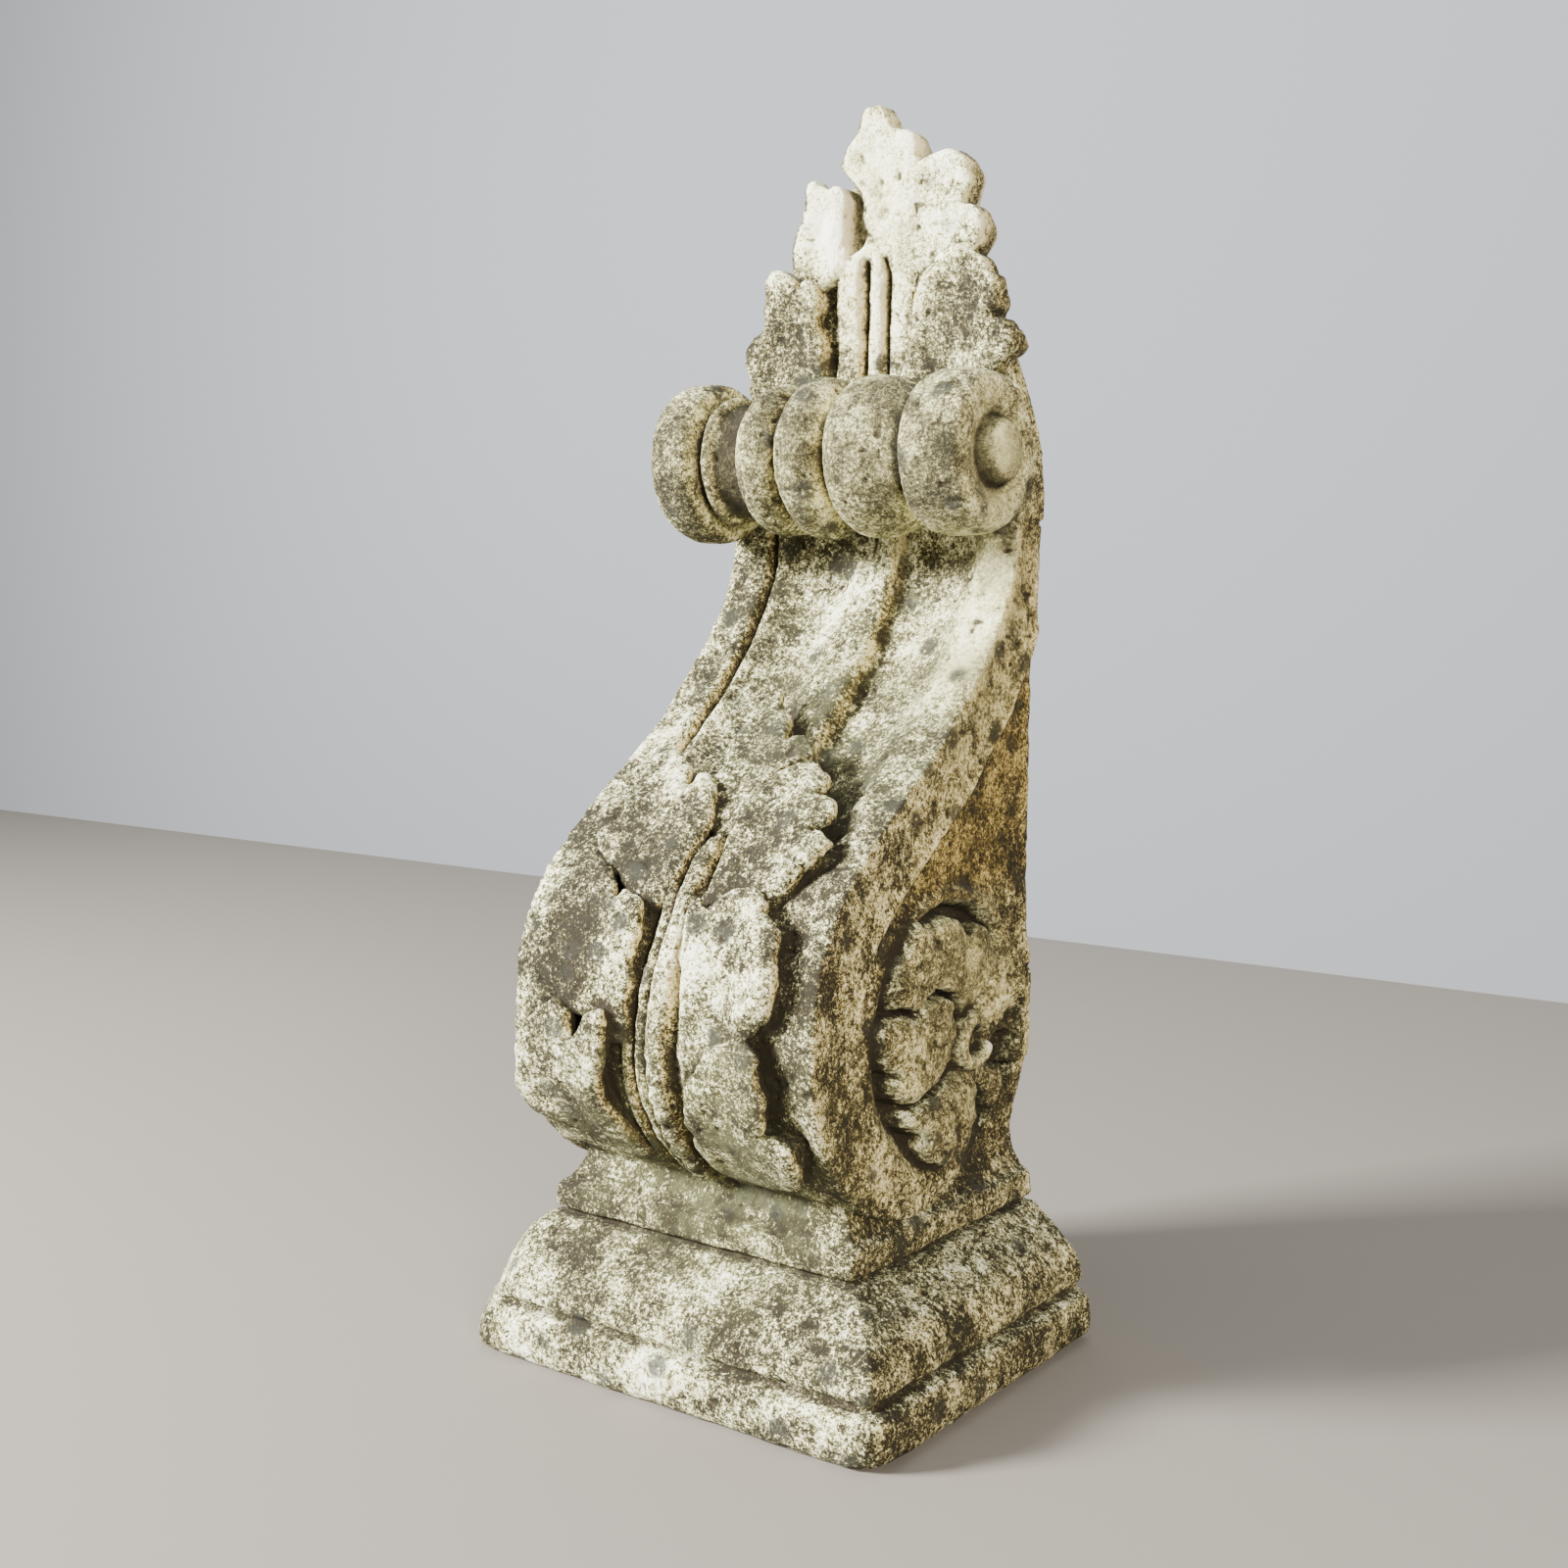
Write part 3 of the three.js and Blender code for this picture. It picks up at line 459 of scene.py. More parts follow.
# How far the painted shade reaches from the edge of a petal or a leaf lobe over what lies below, and the
# drop over which it sets in.
PETAL_GAP_REACH = 4.0
GAP_REACH = 2.9
GAP_DROP = (2.5, 6)


def petal_layers():
    """Each petal's edge field and its height above the side."""
    away = np.hypot(side_out - CURL_CENTRE[0], side_up - CURL_CENTRE[1])
    uneven = lumps(side_out, side_up, 9.0, 1.7, 21) + lumps(side_out, side_up, 4.5, 0.6, 22)
    chipped = chips(side_out, side_up, 0.9, 35)
    layers = []
    for face, outline in PETALS:
        edge = outline_field(side_out, side_up, rounded(outline)) + chipped
        climb = PETAL_ROOT + (1 - PETAL_ROOT) * ease(away, *PETAL_CLIMB)
        height = -RECESS_DEPTH + (face + RECESS_DEPTH) * climb
        crown = 1 - (1 - np.clip(edge / PETAL_CROWN_REACH, 0, 1)) ** 2
        layers.append((edge, height + uneven + PETAL_CROWN * crown))
    return layers


PETAL_LAYERS = petal_layers()


def rosette_relief():
    """Height of the rosette above the side, well below it where there is none."""
    relief = np.full(side_out.shape, FAR_BELOW, np.float32)
    fall, low, high = PETAL_EDGE
    for edge, height in PETAL_LAYERS:
        relief = np.minimum(relief, cut_round(edge, height, *PETAL_DITCH))
        relief = np.maximum(relief, height - fall * (1 - ease(edge, low, high)))
    ring, _ = nearest_on(side_out, side_up, CURL)
    curl = CURL_RISE - 1.1 * CURL_RADIUS * (1 - np.sqrt(np.clip(1 - (ring / CURL_RADIUS) ** 2, 0, 1)))
    return np.maximum(relief, np.where(ring < CURL_RADIUS, curl, FAR_BELOW))


def band_inner():
    """Distance behind the S-band's inner edge, positive on the panel, and where the panel is."""
    behind = front_in - BAND_WIDTH
    above = ease(side_up, 175, 205) * ease(395 - side_up, 0, 14)
    return behind, above


def side_shape():
    """How far the side stands out from the plain side plane, over (out, up)."""
    behind, above = band_inner()
    relief = -PANEL_DEPTH * ease(behind, -0.5, 0.7) * above
    relief += bump(behind, 1.8, -2.4) * above
    away = np.hypot(side_out - ROSETTE[0], side_up - ROSETTE[1])
    rim = away - RECESS_RADIUS
    arch = ease((ROSETTE[0] - side_out) + 0.9 * (side_up - ROSETTE[1]), -25, 40)
    relief += (0.8 + 4.0 * arch) * bump(rim, 3.6, 4.5)
    bowl = -RECESS_DEPTH * ease(-rim, -1.5 - 6 * (1 - arch), 2 + 8 * (1 - arch))
    relief = np.where(rim < 8, np.minimum(relief, np.where(bowl < -0.1, bowl, 1e3)), relief)
    return np.maximum(relief, rosette_relief())


SIDE_SHAPE = side_shape()
SIDE_HALF = (BODY_HALF + SIDE_SHAPE).astype(np.float32)


def petal_painted_shade():
    """The painted shade beside each petal, over (out, up), and on the floor of the recess."""
    dark = 0.6 * ease(-SIDE_SHAPE, RECESS_DEPTH - 4, RECESS_DEPTH - 1)
    for edge, height in PETAL_LAYERS:
        beside = bump(np.minimum(edge, 0), PETAL_GAP_REACH) * ease(height - SIDE_SHAPE, *GAP_DROP)
        dark = np.maximum(dark, beside)
    return dark


PETAL_PAINTED_SHADE = petal_painted_shade()


def body_casting(field):
    """The body between its sides, and the narrower foot between the volute and the abacus."""
    across = np.abs(ACROSS)[:, None, None]
    whole = np.minimum(front_in, side_out)
    whole = np.minimum(whole, BODY_TOP - side_up)
    np.maximum(field, np.minimum(whole, SIDE_HALF - across), out=field)
    flare = FOOT_HALF + (BODY_HALF - 1 - FOOT_HALF) * np.sin(ease(side_up, *FLARE_SPAN) * np.pi / 2)
    foot = np.minimum(np.minimum(side_out, VOLUTE_OUT - side_out), side_up - FOOT_SPAN[0])
    foot = np.minimum(foot, FOOT_SPAN[1] - side_up)
    np.maximum(field, np.minimum(foot, flare - across), out=field)


# Abacus

# The step of the tables that hold the sections of the abacus and the roller.
TABLE_STEP = 0.5


def looked_up(table, first, px, py):
    """A 2-D table that starts at first, read between its cells."""
    fx = np.clip((px - first[0]) / TABLE_STEP, 0, table.shape[0] - 1.001)
    fy = np.clip((py - first[1]) / TABLE_STEP, 0, table.shape[1] - 1.001)
    return between(table, fx, fy)


# Corners of the plinth that are broken or worn away: place, direction of the cut and its depth.
WORN_CORNERS = [
    ((123, 194, 0), (0.62, 0.66, -0.42), 9.0),
    ((-123, 194, 4), (-0.75, 0.6, -0.28), 13.0),
    ((-123, 194, 58), (-0.7, 0.55, 0.45), 34.0),
    ((123, 194, 24), (0.7, 0.7, 0.1), 5.0),
]
MITRE_WEAR = 3.5
BREAK_ROUND = 6.0


def abacus_casting(field):
    """The plinth and its mouldings, mitred at the front corners and flush at the back."""
    insets, rises = np.arange(-12, 130, TABLE_STEP), np.arange(-12, 112, TABLE_STEP)
    inset, rise = crossed(insets, rises)
    outline = [(160, 0)] + ABACUS_PROFILE + [(160, ABACUS_TOP)]
    table = outline_field(inset, rise, outline).astype(np.float32)
    levels = int(np.searchsorted(UP, ABACUS_TOP + 8))
    across, out, up = crossed(ACROSS, OUT, UP[:levels])
    from_side = soft_min(WIDTH / 2 - np.abs(across), DEPTH - out, MITRE_WEAR)
    block = looked_up(table, (insets[0], rises[0]), from_side, up)
    for place, way, depth in WORN_CORNERS:
        reach = sum((here - at) * w for here, at, w in zip((across, out, up), place, way))
        block = soft_min(block, -reach - depth, BREAK_ROUND)
    block = np.minimum(block, out)
    np.maximum(field[:, :, :levels], block, out=field[:, :, :levels])


# Roller

# The roller from end to end, as (x, radius).
ROLLER_PROFILE = [
    (-96, 0), (-95.8, 8), (-94.6, 12.5), (-92, 15), (-88, 15.6), (-87, 17), (-88.6, 20), (-90.2, 26),
    (-90.8, 32), (-90, 36.4), (-87.6, 39), (-84, 40.2), (-77, 40.4), (-71, 39.8), (-67.6, 38), (-66.4, 35),
    (-65.8, 28), (-63.4, 27.6), (-62.8, 31), (-60.6, 33.4), (-57.8, 32.8), (-56.2, 29.4), (-52, 27.4),
    (-46, 26.6), (-42, 26.2), (-40, 27.6), (-38.8, 33), (-36, 36.2), (-31, 37.8), (-26, 37), (-21, 33.2),
    (-17.4, 27.8), (-15.6, 29.4), (-14.4, 35.4), (-11, 38.6), (-6, 39.8), (0, 38.6), (5.4, 34.8),
    (9.8, 28.2), (12, 29.2), (13.4, 34.4), (16, 37), (21, 38.6), (27, 38.6), (33, 37.6), (39, 35.8),
    (45, 33.2), (50, 30.2), (53, 27.8), (54.4, 29.6), (55.2, 34.6), (57.6, 37.2), (64, 38.4), (74, 38.4),
    (82, 37.6), (86.4, 35.8), (88.6, 32.6), (89, 29), (87.8, 24), (86.4, 19.4), (86, 16.6), (87.6, 15.6),
    (92, 15.2), (94.8, 13), (95.8, 8), (96, 0),
]
SPIRAL_RADIUS = (15.5, 21.0)
SPIRAL_START = 2.2
SPIRAL_GROOVE = 2.6
SPIRAL_THINS = 2.4


def roller_casting(field):
    """The reeded roller, with a spiral sunk into each end."""
    first = int(np.searchsorted(UP, ROLLER_UP - ROLLER_RADIUS - 6))
    last = int(np.searchsorted(UP, ROLLER_UP + ROLLER_RADIUS + 6))
    wide = int(np.searchsorted(OUT, ROLLER_OUT + ROLLER_RADIUS + 6))
    outline = ROLLER_PROFILE + [(96, -5), (-96, -5)]
    spans, radii = np.arange(-104, 104.5, TABLE_STEP), np.arange(0, 60, TABLE_STEP)
    span, radius = crossed(spans, radii)
    table = outline_field(span, radius, outline).astype(np.float32)
    across, out, up = crossed(ACROSS, OUT[:wide], UP[first:last])
    away = np.hypot(out - ROLLER_OUT, up - ROLLER_UP)
    turn = np.arctan2(up - ROLLER_UP, ROLLER_OUT - out)
    block = looked_up(table, (spans[0], radii[0]), across, away)
    share = np.mod(turn + SPIRAL_START, 2 * np.pi) / (2 * np.pi)
    line = SPIRAL_RADIUS[0] + 2.5 + (SPIRAL_RADIUS[1] - SPIRAL_RADIUS[0]) * share
    groove = np.hypot(np.abs(across) - ROLLER_HALF + 0.5, away - line)
    groove -= SPIRAL_GROOVE - SPIRAL_THINS * share
    block = np.where(np.abs(across) > 70, np.minimum(block, groove), block)
    part = field[:, :wide, first:last]
    np.maximum(part, block, out=part)


# Slab and finial

# Each finial lobe: how far its face stands before the others, the depth of the ditch round it, and its
# outline in (x, up).
FINIAL = [
    (0.5, 0, [
        (-5, 545), (-6, 556), (-8, 564), (-16, 572), (-15, 581), (-12, 586), (-8, 589), (-6, 594),
        (-2, 599), (3, 601), (7, 600), (11, 595), (13, 589), (18, 587), (24, 586), (28, 583), (28, 577),
        (29, 571), (26, 556), (18, 540), (2, 536)]),
    (0.0, 0, [
        (8, 528), (14, 548), (24, 566), (30, 572), (38, 574), (46, 575), (53, 572), (58, 566), (59, 559),
        (55, 551), (54, 548), (59, 547), (64, 543), (65, 536), (62, 528), (58, 523), (48, 516), (28, 508)]),
    (1.5, 2.6, [
        (18, 455), (20, 485), (23, 505), (30, 519), (36, 523), (42, 528), (50, 530), (58, 529), (64, 523),
        (69, 515), (73, 508), (73, 501), (69, 495), (74, 494), (79, 489), (82, 483), (79, 476), (72, 470),
        (64, 462), (50, 452)]),
    (0.8, 0, [
        (-17, 524), (-16, 534), (-15, 542), (-14, 550), (-13, 558), (-16, 563), (-21, 565), (-26, 564),
        (-32, 570), (-37, 568), (-39, 561), (-41, 551), (-44, 545), (-46, 538), (-47, 531), (-45, 524),
        (-37, 520), (-28, 517)]),
    (1.0, 2.0, [
        (-26, 455), (-30, 475), (-31, 491), (-33, 500), (-31, 510), (-33, 518), (-37, 522), (-41, 522),
        (-44, 517), (-47, 522), (-52, 527), (-57, 529), (-62, 527), (-64, 517), (-65, 507), (-67, 498),
        (-73, 494), (-77, 488), (-76, 478), (-76, 466), (-66, 456), (-44, 450)]),
]

# The lobes' faces stand this far out at this height, and lean out with the height and to the sides.
# Their relief is in steps, as the leaf's is.
FINIAL_FACE = 23.5
FINIAL_FACE_UP = 540
FINIAL_LEAN = 0.075
FINIAL_SPLAY = 0.05
FINIAL_THICK = 12.0
FINIAL_RIM = (1.6, -0.5, 5)
FINIAL_DISH = (2.4, 5, 15)
FINIAL_UNDERSIDE = (16, -1, 8)
FINIAL_DITCH_WIDTH = 1.6
STEM_OUTLINE = [(-25, 440), (-23, 480), (-21, 526), (-12, 532), (-5, 538), (-3, 556), (-6, 566),
                (12, 566), (18, 530), (24, 500), (28, 440)]
STEM_FLUTES = [(-9, 450, -5, 527, 3.0, 3.6), (4, 450, 8, 527, 2.4, 3.2)]
STEM_FLUTE_DEPTH = 7.0
STEM_RIM = (1.2, 0, 4)

# The slab's half-width by height.
SLAB_SIDE = ([380, 414, 430, 442, 459, 471, 488, 500, 540, 565, 580, 592],
             [86.5, 87, 85.5, 83, 78, 74, 66, 54, 42, 20, 9, -8])


def finial_face(x, z):
    """How far out the finial's faces stand: they lean out to the sides and the top."""
    return FINIAL_FACE + FINIAL_LEAN * (z - FINIAL_FACE_UP) + FINIAL_SPLAY * np.abs(x)


def finial_casting(field):
    """The slab behind the roller, the finial's floor and stem, and its leaning lobes."""
    first = int(np.searchsorted(UP, NECK[1] + 10))
    wide = int(np.searchsorted(OUT, 50.0))
    x, z = (flat[:, None, :] for flat in crossed(ACROSS, UP[first:]))
    side = np.interp(z, *SLAB_SIDE)
    face = np.interp(z, [440, 460, 600], [SLAB_OUT, FLOOR_OUT - 1, FLOOR_OUT])
    back = OUT[:wide][None, :, None]
    block = np.minimum(np.minimum(face - back, back), side - np.abs(x))
    edge = outline_field(x, z, rounded(STEM_OUTLINE))
    height = finial_face(x, z) - 1.5 + step_up(edge, STEM_RIM)
    for strip in STEM_FLUTES:
        sunk = np.clip(stroke(x, z, *strip) / strip[5], 0, 1)
        height = height - STEM_FLUTE_DEPTH * np.sqrt(sunk)
    stem = soft_min(height - back, edge, 1.5)
    block = np.maximum(block, np.minimum(stem, back))
    for shift, ditch, outline in FINIAL:
        edge = outline_field(x, z, rounded(outline)) + chips(x, z, 1.3, 33)
        top = finial_face(x, z) + shift + step_up(edge, FINIAL_RIM) - step_up(edge, FINIAL_DISH)
        if ditch:
            block = np.minimum(block, cut_round(edge, top, ditch, FINIAL_DITCH_WIDTH) - back)
        under = top - FINIAL_THICK - step_up(edge, FINIAL_UNDERSIDE)
        plate = np.minimum(top - back, back - np.minimum(under, 30))
        plate = np.minimum(soft_min(plate, edge, RIM_ROUND), back)
        block = np.maximum(block, plate)
    part = field[:, :wide, first:]
    np.maximum(part, block, out=part)


# Meshing

def blurred(field, times, share=0.25):
    """The field after a soft 3-cell blur along each axis, which gives each neighbour that share."""
    out = field
    for _ in range(times):
        for axis in range(3):
            ahead = np.roll(out, -1, axis)
            behind = np.roll(out, 1, axis)
            out = (1 - 2 * share) * out + share * (ahead + behind)
    return out


def stepped_back(where, axes, steps):
    """Cells that lie these steps back along the axes."""
    cell = list(where)
    for axis, step in zip(axes, steps):
        cell[axis] = cell[axis] - step
    return tuple(cell)


def surface_net(field):
    """Vertices, in grid units, and quads of the field's zero surface."""
    solid = field > 0
    shape = np.array(field.shape)
    sums = np.zeros(tuple(shape - 1) + (3,), np.float32)
    counts = np.zeros(tuple(shape - 1), np.int16)
    crossings = []
    for axis in range(3):
        low = [slice(None)] * 3
        high = [slice(None)] * 3
        low[axis] = slice(0, -1)
        high[axis] = slice(1, None)
        a, b = field[tuple(low)], field[tuple(high)]
        where = np.nonzero(solid[tuple(low)] != solid[tuple(high)])
        va, vb = a[where], b[where]
        place = np.stack(where, 1).astype(np.float32)
        place[:, axis] += va / (va - vb)
        crossings.append((axis, where, va > 0))
        first, second = (k for k in range(3) if k != axis)
        for steps in ((0, 0), (0, 1), (1, 0), (1, 1)):
            cell = stepped_back(where, (first, second), steps)
            np.add.at(counts, cell, 1)
            np.add.at(sums, cell, place)
    ids = np.full(counts.shape, -1, np.int64)
    used = counts > 0
    ids[used] = np.arange(int(used.sum()))
    points = sums[used] / counts[used][:, None]
    quads = []
    for axis, where, outward in crossings:
        others = (axis + 1) % 3, (axis + 2) % 3
        around = ((0, 0), (1, 0), (1, 1), (0, 1))
        quad = np.stack([ids[stepped_back(where, others, steps)] for steps in around], 1)
        quad[~outward] = quad[~outward][:, ::-1]
        quads.append(quad)
    return points, np.vstack(quads)


def between_cells(table, base, part):
    """A 3-D table read between the eight cells from each base on; past its end it starts again."""
    total = np.zeros(len(base), np.float32)
    for corner in range(8):
        step = np.array([corner & 1, corner >> 1 & 1, corner >> 2 & 1])
        weight = np.prod(np.where(step == 1, part, 1 - part), axis=1)
        total += weight * table[tuple(((base + step) % table.shape).T)]
    return total


def sampled(field, points):
    """The field read at points given in grid units."""
    base = np.clip(np.floor(points).astype(int), 0, np.array(field.shape) - 2)
    return between_cells(field, base, points - base)


def rough(points, pitch, seed):
    """Smooth seeded noise between -1 and 1, with lumps about a pitch across."""
    rng = np.random.default_rng(seed)
    table = rng.uniform(-1, 1, (64, 64, 64)).astype(np.float32)
    spot = points / pitch + 1000
    base = np.floor(spot).astype(int)
    part = spot - base
    return between_cells(table, base, part * part * (3 - 2 * part))


def casting_field():
    """The whole casting's field of distances, positive inside."""
    field = np.full((len(ACROSS), len(OUT), len(UP)), -20.0, np.float32)
    body_casting(field)
    front_casting(field)
    finial_casting(field)
    roller_casting(field)
    abacus_casting(field)
    return blurred(np.clip(field, -8, 8), 1, 0.1)


def per_vertex(mesh, name):
    """A vector of each of the mesh's vertices."""
    values = np.zeros(len(mesh.vertices) * 3, np.float32)
    mesh.vertices.foreach_get(name, values)
    return values.reshape(-1, 3)


# The worn surface: its undulations as (pitch, height, seed), how rubbed its edges are, and the pinholes.
UNDULATIONS = [(22, 0.5, 1), (9, 0.32, 2), (4.2, 0.22, 3), (2.2, 0.12, 4)]
RUB_FROM = 0.35
RUB_LEAST = 0.15
RUB_UNEVEN = 1.3
PINHOLE = (1.1, 0.52, 0.85)


def worn(points, quads, bend):
    """Moves the surface in and out: undulation, rubbed edges, sand grain and pinholes."""
    mesh = bpy.data.meshes.new("draft")
    mesh.from_pydata(points.tolist(), [], quads.tolist())
    normals = per_vertex(mesh, "normal")
    bpy.data.meshes.remove(mesh)
    shift = sum(height * rough(points, pitch, seed) for pitch, height, seed in UNDULATIONS)
    rubbed = np.clip(-bend - RUB_FROM, 0, 1.0)
    shift -= rubbed * (RUB_LEAST + RUB_UNEVEN * np.clip(rough(points, 7, 5), 0, 1))
    shift -= step_up(rough(points, 3.4, 6), PINHOLE)
    flat = (points[:, 1] < 0.6) & (normals[:, 1] < -0.8)
    flat |= (points[:, 2] < 0.6) & (normals[:, 2] < -0.8)
    shift = np.where(flat, np.minimum(shift * 0.35, 0), shift)
    moved = points + normals * shift[:, None]
    moved[:, 0] = np.clip(moved[:, 0], -WIDTH / 2, WIDTH / 2)
    moved[:, 1] = np.clip(moved[:, 1], 0, DEPTH + LEAF_PROUD)
    moved[:, 2] = np.clip(moved[:, 2], 0, HEIGHT)
    return moved


def built_mesh():
    """The casting's mesh in metres, and its wide blurred field for the material's marks."""
    field = casting_field()
    grid_points, quads = surface_net(field)
    wide = blurred(np.clip(field, -6, 6), 6)
    bend = sampled(wide, grid_points)
    points = worn(GRID_START + CELL * grid_points, quads, bend)
    placed = np.stack([points[:, 0], DEPTH / 2 - points[:, 1], points[:, 2]], 1) / 1000
    mesh = bpy.data.meshes.new("casting")
    mesh.from_pydata(placed.tolist(), [], quads.tolist())
    mesh.update()
    return mesh, wide


def added(name, data):
    """A new object of the scene."""
    item = bpy.data.objects.new(name, data)
    bpy.context.scene.collection.objects.link(item)
    return item


def thinned(mesh):
    """The casting as an object, with its triangles brought down to the most that it may have."""
    piece = added("casting", mesh)
    faces = 2 * len(mesh.polygons)
    if faces > MOST_TRIANGLES:
        thin = piece.modifiers.new("thin", "DECIMATE")
        thin.ratio = MOST_TRIANGLES / faces
        thin.use_collapse_triangulate = True
        graph = bpy.context.evaluated_depsgraph_get()
        fewer = bpy.data.meshes.new_from_object(piece.evaluated_get(graph))
        piece.modifiers.clear()
        piece.data = fewer
        bpy.data.meshes.remove(mesh)
    return piece


# Radius of the painted shadow ring round the button on each end of the roller.
BUTTON_RING = 17.0

# Marks for the material: places of tint, as (x, out, up, radius, strength). The pale places are partly pale
# lime and partly painted highlight, on the finial's top, the right margin by the neck and the side's band.
MARKS = {
    "pale_and_highlight": [
        (6, 192, 200, 14, 0.6), (6, 198, 150, 14, 0.6), (4, 182, 115, 12, 0.5), (38, 190, 200, 26, 1.3),
        (0, 25, 580, 60, 1.1), (-30, 24, 550, 40, 0.7), (60, 45, 355, 34, 0.6), (76, 30, 388, 18, 1.5),
        (76, 50, 350, 18, 1.5), (74, 75, 318, 18, 1.1), (86, 112, 118, 22, 0.5), (86, 120, 140, 20, 0.5),
        (30, 40, 380, 40, 0.5), (5, 190, 190, 16, 0.5), (-95, 190, 15, 60, 0.5), (20, 190, 12, 60, 0.5),
        (45, 25, 545, 40, 0.8), (0, 24, 500, 26, 0.9), (96, 58, 431, 11, 0.7), (-36, 28, 548, 22, 0.5),
    ],
    # The dark places are partly soot and partly painted shade, as in the cove under the volute and round the
    # rosette.
    "soot_and_shade": [
        (82, 42, 108, 24, 1.2), (84, 20, 130, 16, 0.6), (86, 166, 150, 22, 0.6), (86, 150, 236, 30, 0.5),
        (84, 90, 330, 30, 0.3), (86, 8, 400, 30, 0.5), (86, 185, 205, 20, 0.5), (0, 160, 112, 40, 0.3),
        (-36, 160, 262, 26, 0.55), (-62, 185, 205, 24, 0.6), (-40, 190, 190, 12, 0.5),
        (-70, 180, 120, 24, 0.4), (34, 150, 268, 18, 0.25), (72, 175, 225, 24, 0.5),
        (66, 190, 170, 22, 0.45), (20, 105, 300, 16, 0.35), (-44, 160, 240, 24, 0.3),
        (-55, 185, 175, 20, 0.3), (44, 160, 250, 22, 0.3), (-85, 100, 100, 60, 0.8), (-30, 185, 92, 20, 0.4),
        (60, 180, 92, 26, 0.5), (55, 26, 505, 18, 0.4), (0, 165, 98, 44, 0.35), (-20, 172, 96, 26, 0.4),
        (44, 174, 88, 22, 0.5), (96, 150, 60, 40, 0.35), (-50, 185, 50, 26, 0.35), (30, 190, 40, 20, 0.3),
    ],
    "moss": [
        (40, 165, 112, 40, 0.6), (-30, 165, 112, 40, 0.5), (0, 150, 96, 60, 0.4), (40, 190, 150, 30, 0.4),
        (60, 90, 300, 50, 0.3), (0, 60, 340, 60, 0.35),
    ],
    "calm": [
        (-70, 60, 430, 50, 0.8), (0, 70, 430, 50, 0.8), (70, 60, 430, 50, 0.9), (0, 24, 540, 70, 0.6),
        (92, 46, 429, 26, 0.7), (0, 24, 570, 40, 0.6), (76, 35, 375, 24, 1.0), (0, 28, 500, 30, 0.4),
        (75, 60, 335, 20, 0.9), (86, 40, 330, 70, 0.7), (86, 78, 161, 60, 0.5), (86, 60, 230, 50, 0.5),
    ],
}
MOST_TINT = 1.55


def mark(points, places):
    """The summed tint of the named places at each point."""
    total = np.zeros(len(points), np.float32)
    for x, out, up, radius, strength in places:
        gap = np.linalg.norm(points - np.array([x, out, up]), axis=1)
        total += strength * bump(gap, radius)
    return np.clip(total, 0, MOST_TINT)


def nearest_cell(places, axis, step=CELL):
    """The cell of an axis that is nearest to each place."""
    return np.clip(np.rint((places - axis[0]) / step).astype(int), 0, len(axis) - 1)


def sampled_side(table, points):
    """A table over (out, up), read at the nearest cell to each point."""
    return table[nearest_cell(points[:, 1], OUT), nearest_cell(points[:, 2], UP)]


def painted_shades(points):
    """How far each place lies in painted shade beside a leaf lobe or between the rosette's petals, and in
    the roller's valleys, round its buttons and on the finial's floor.
    """
    x, out, up = np.abs(points[:, 0]), points[:, 1], points[:, 2]
    rise = -sampled_side(front_in, points)
    length = nearest_cell(sampled_side(front_along, points), LENGTHS, 1)
    column = nearest_cell(points[:, 0], ACROSS)
    dark = np.zeros(len(points), np.float32)
    for root, tip, high, outline in LEAF:
        edge, top, _ = lobe_layers(root, tip, high, outline)
        beside = bump(np.minimum(edge, 0), GAP_REACH)[column, length]
        dark = np.maximum(dark, beside * ease(top[column, length] - rise, *GAP_DROP))
    dark *= ease(rise, -CARVED_DEPTH, 4 - CARVED_DEPTH)
    side = sampled_side(PETAL_PAINTED_SHADE, points) * (x > 60)
    # Painted shade in the roller's valleys, a painted shadow ring round each end's button, and painted shade
    # on the finial's floor behind its lobes.
    axis = np.hypot(out - ROLLER_OUT, up - ROLLER_UP)
    valley = 0.7 * ease(31 - axis, 0, 3.5) * ease(67 - x, 0, 2) * ease(axis, 20, 24)
    ring = 0.8 * bump(axis, 1.5, BUTTON_RING) * ease(x, 82, 85)
    valley = np.maximum(valley, ring)
    recess = 0.55 * ease(finial_face(x, up) - 3.5 - out, 0, 4) * (out > 6) * ease(up, 472, 480)
    return np.maximum(np.maximum(dark, side), np.maximum(valley, recess))


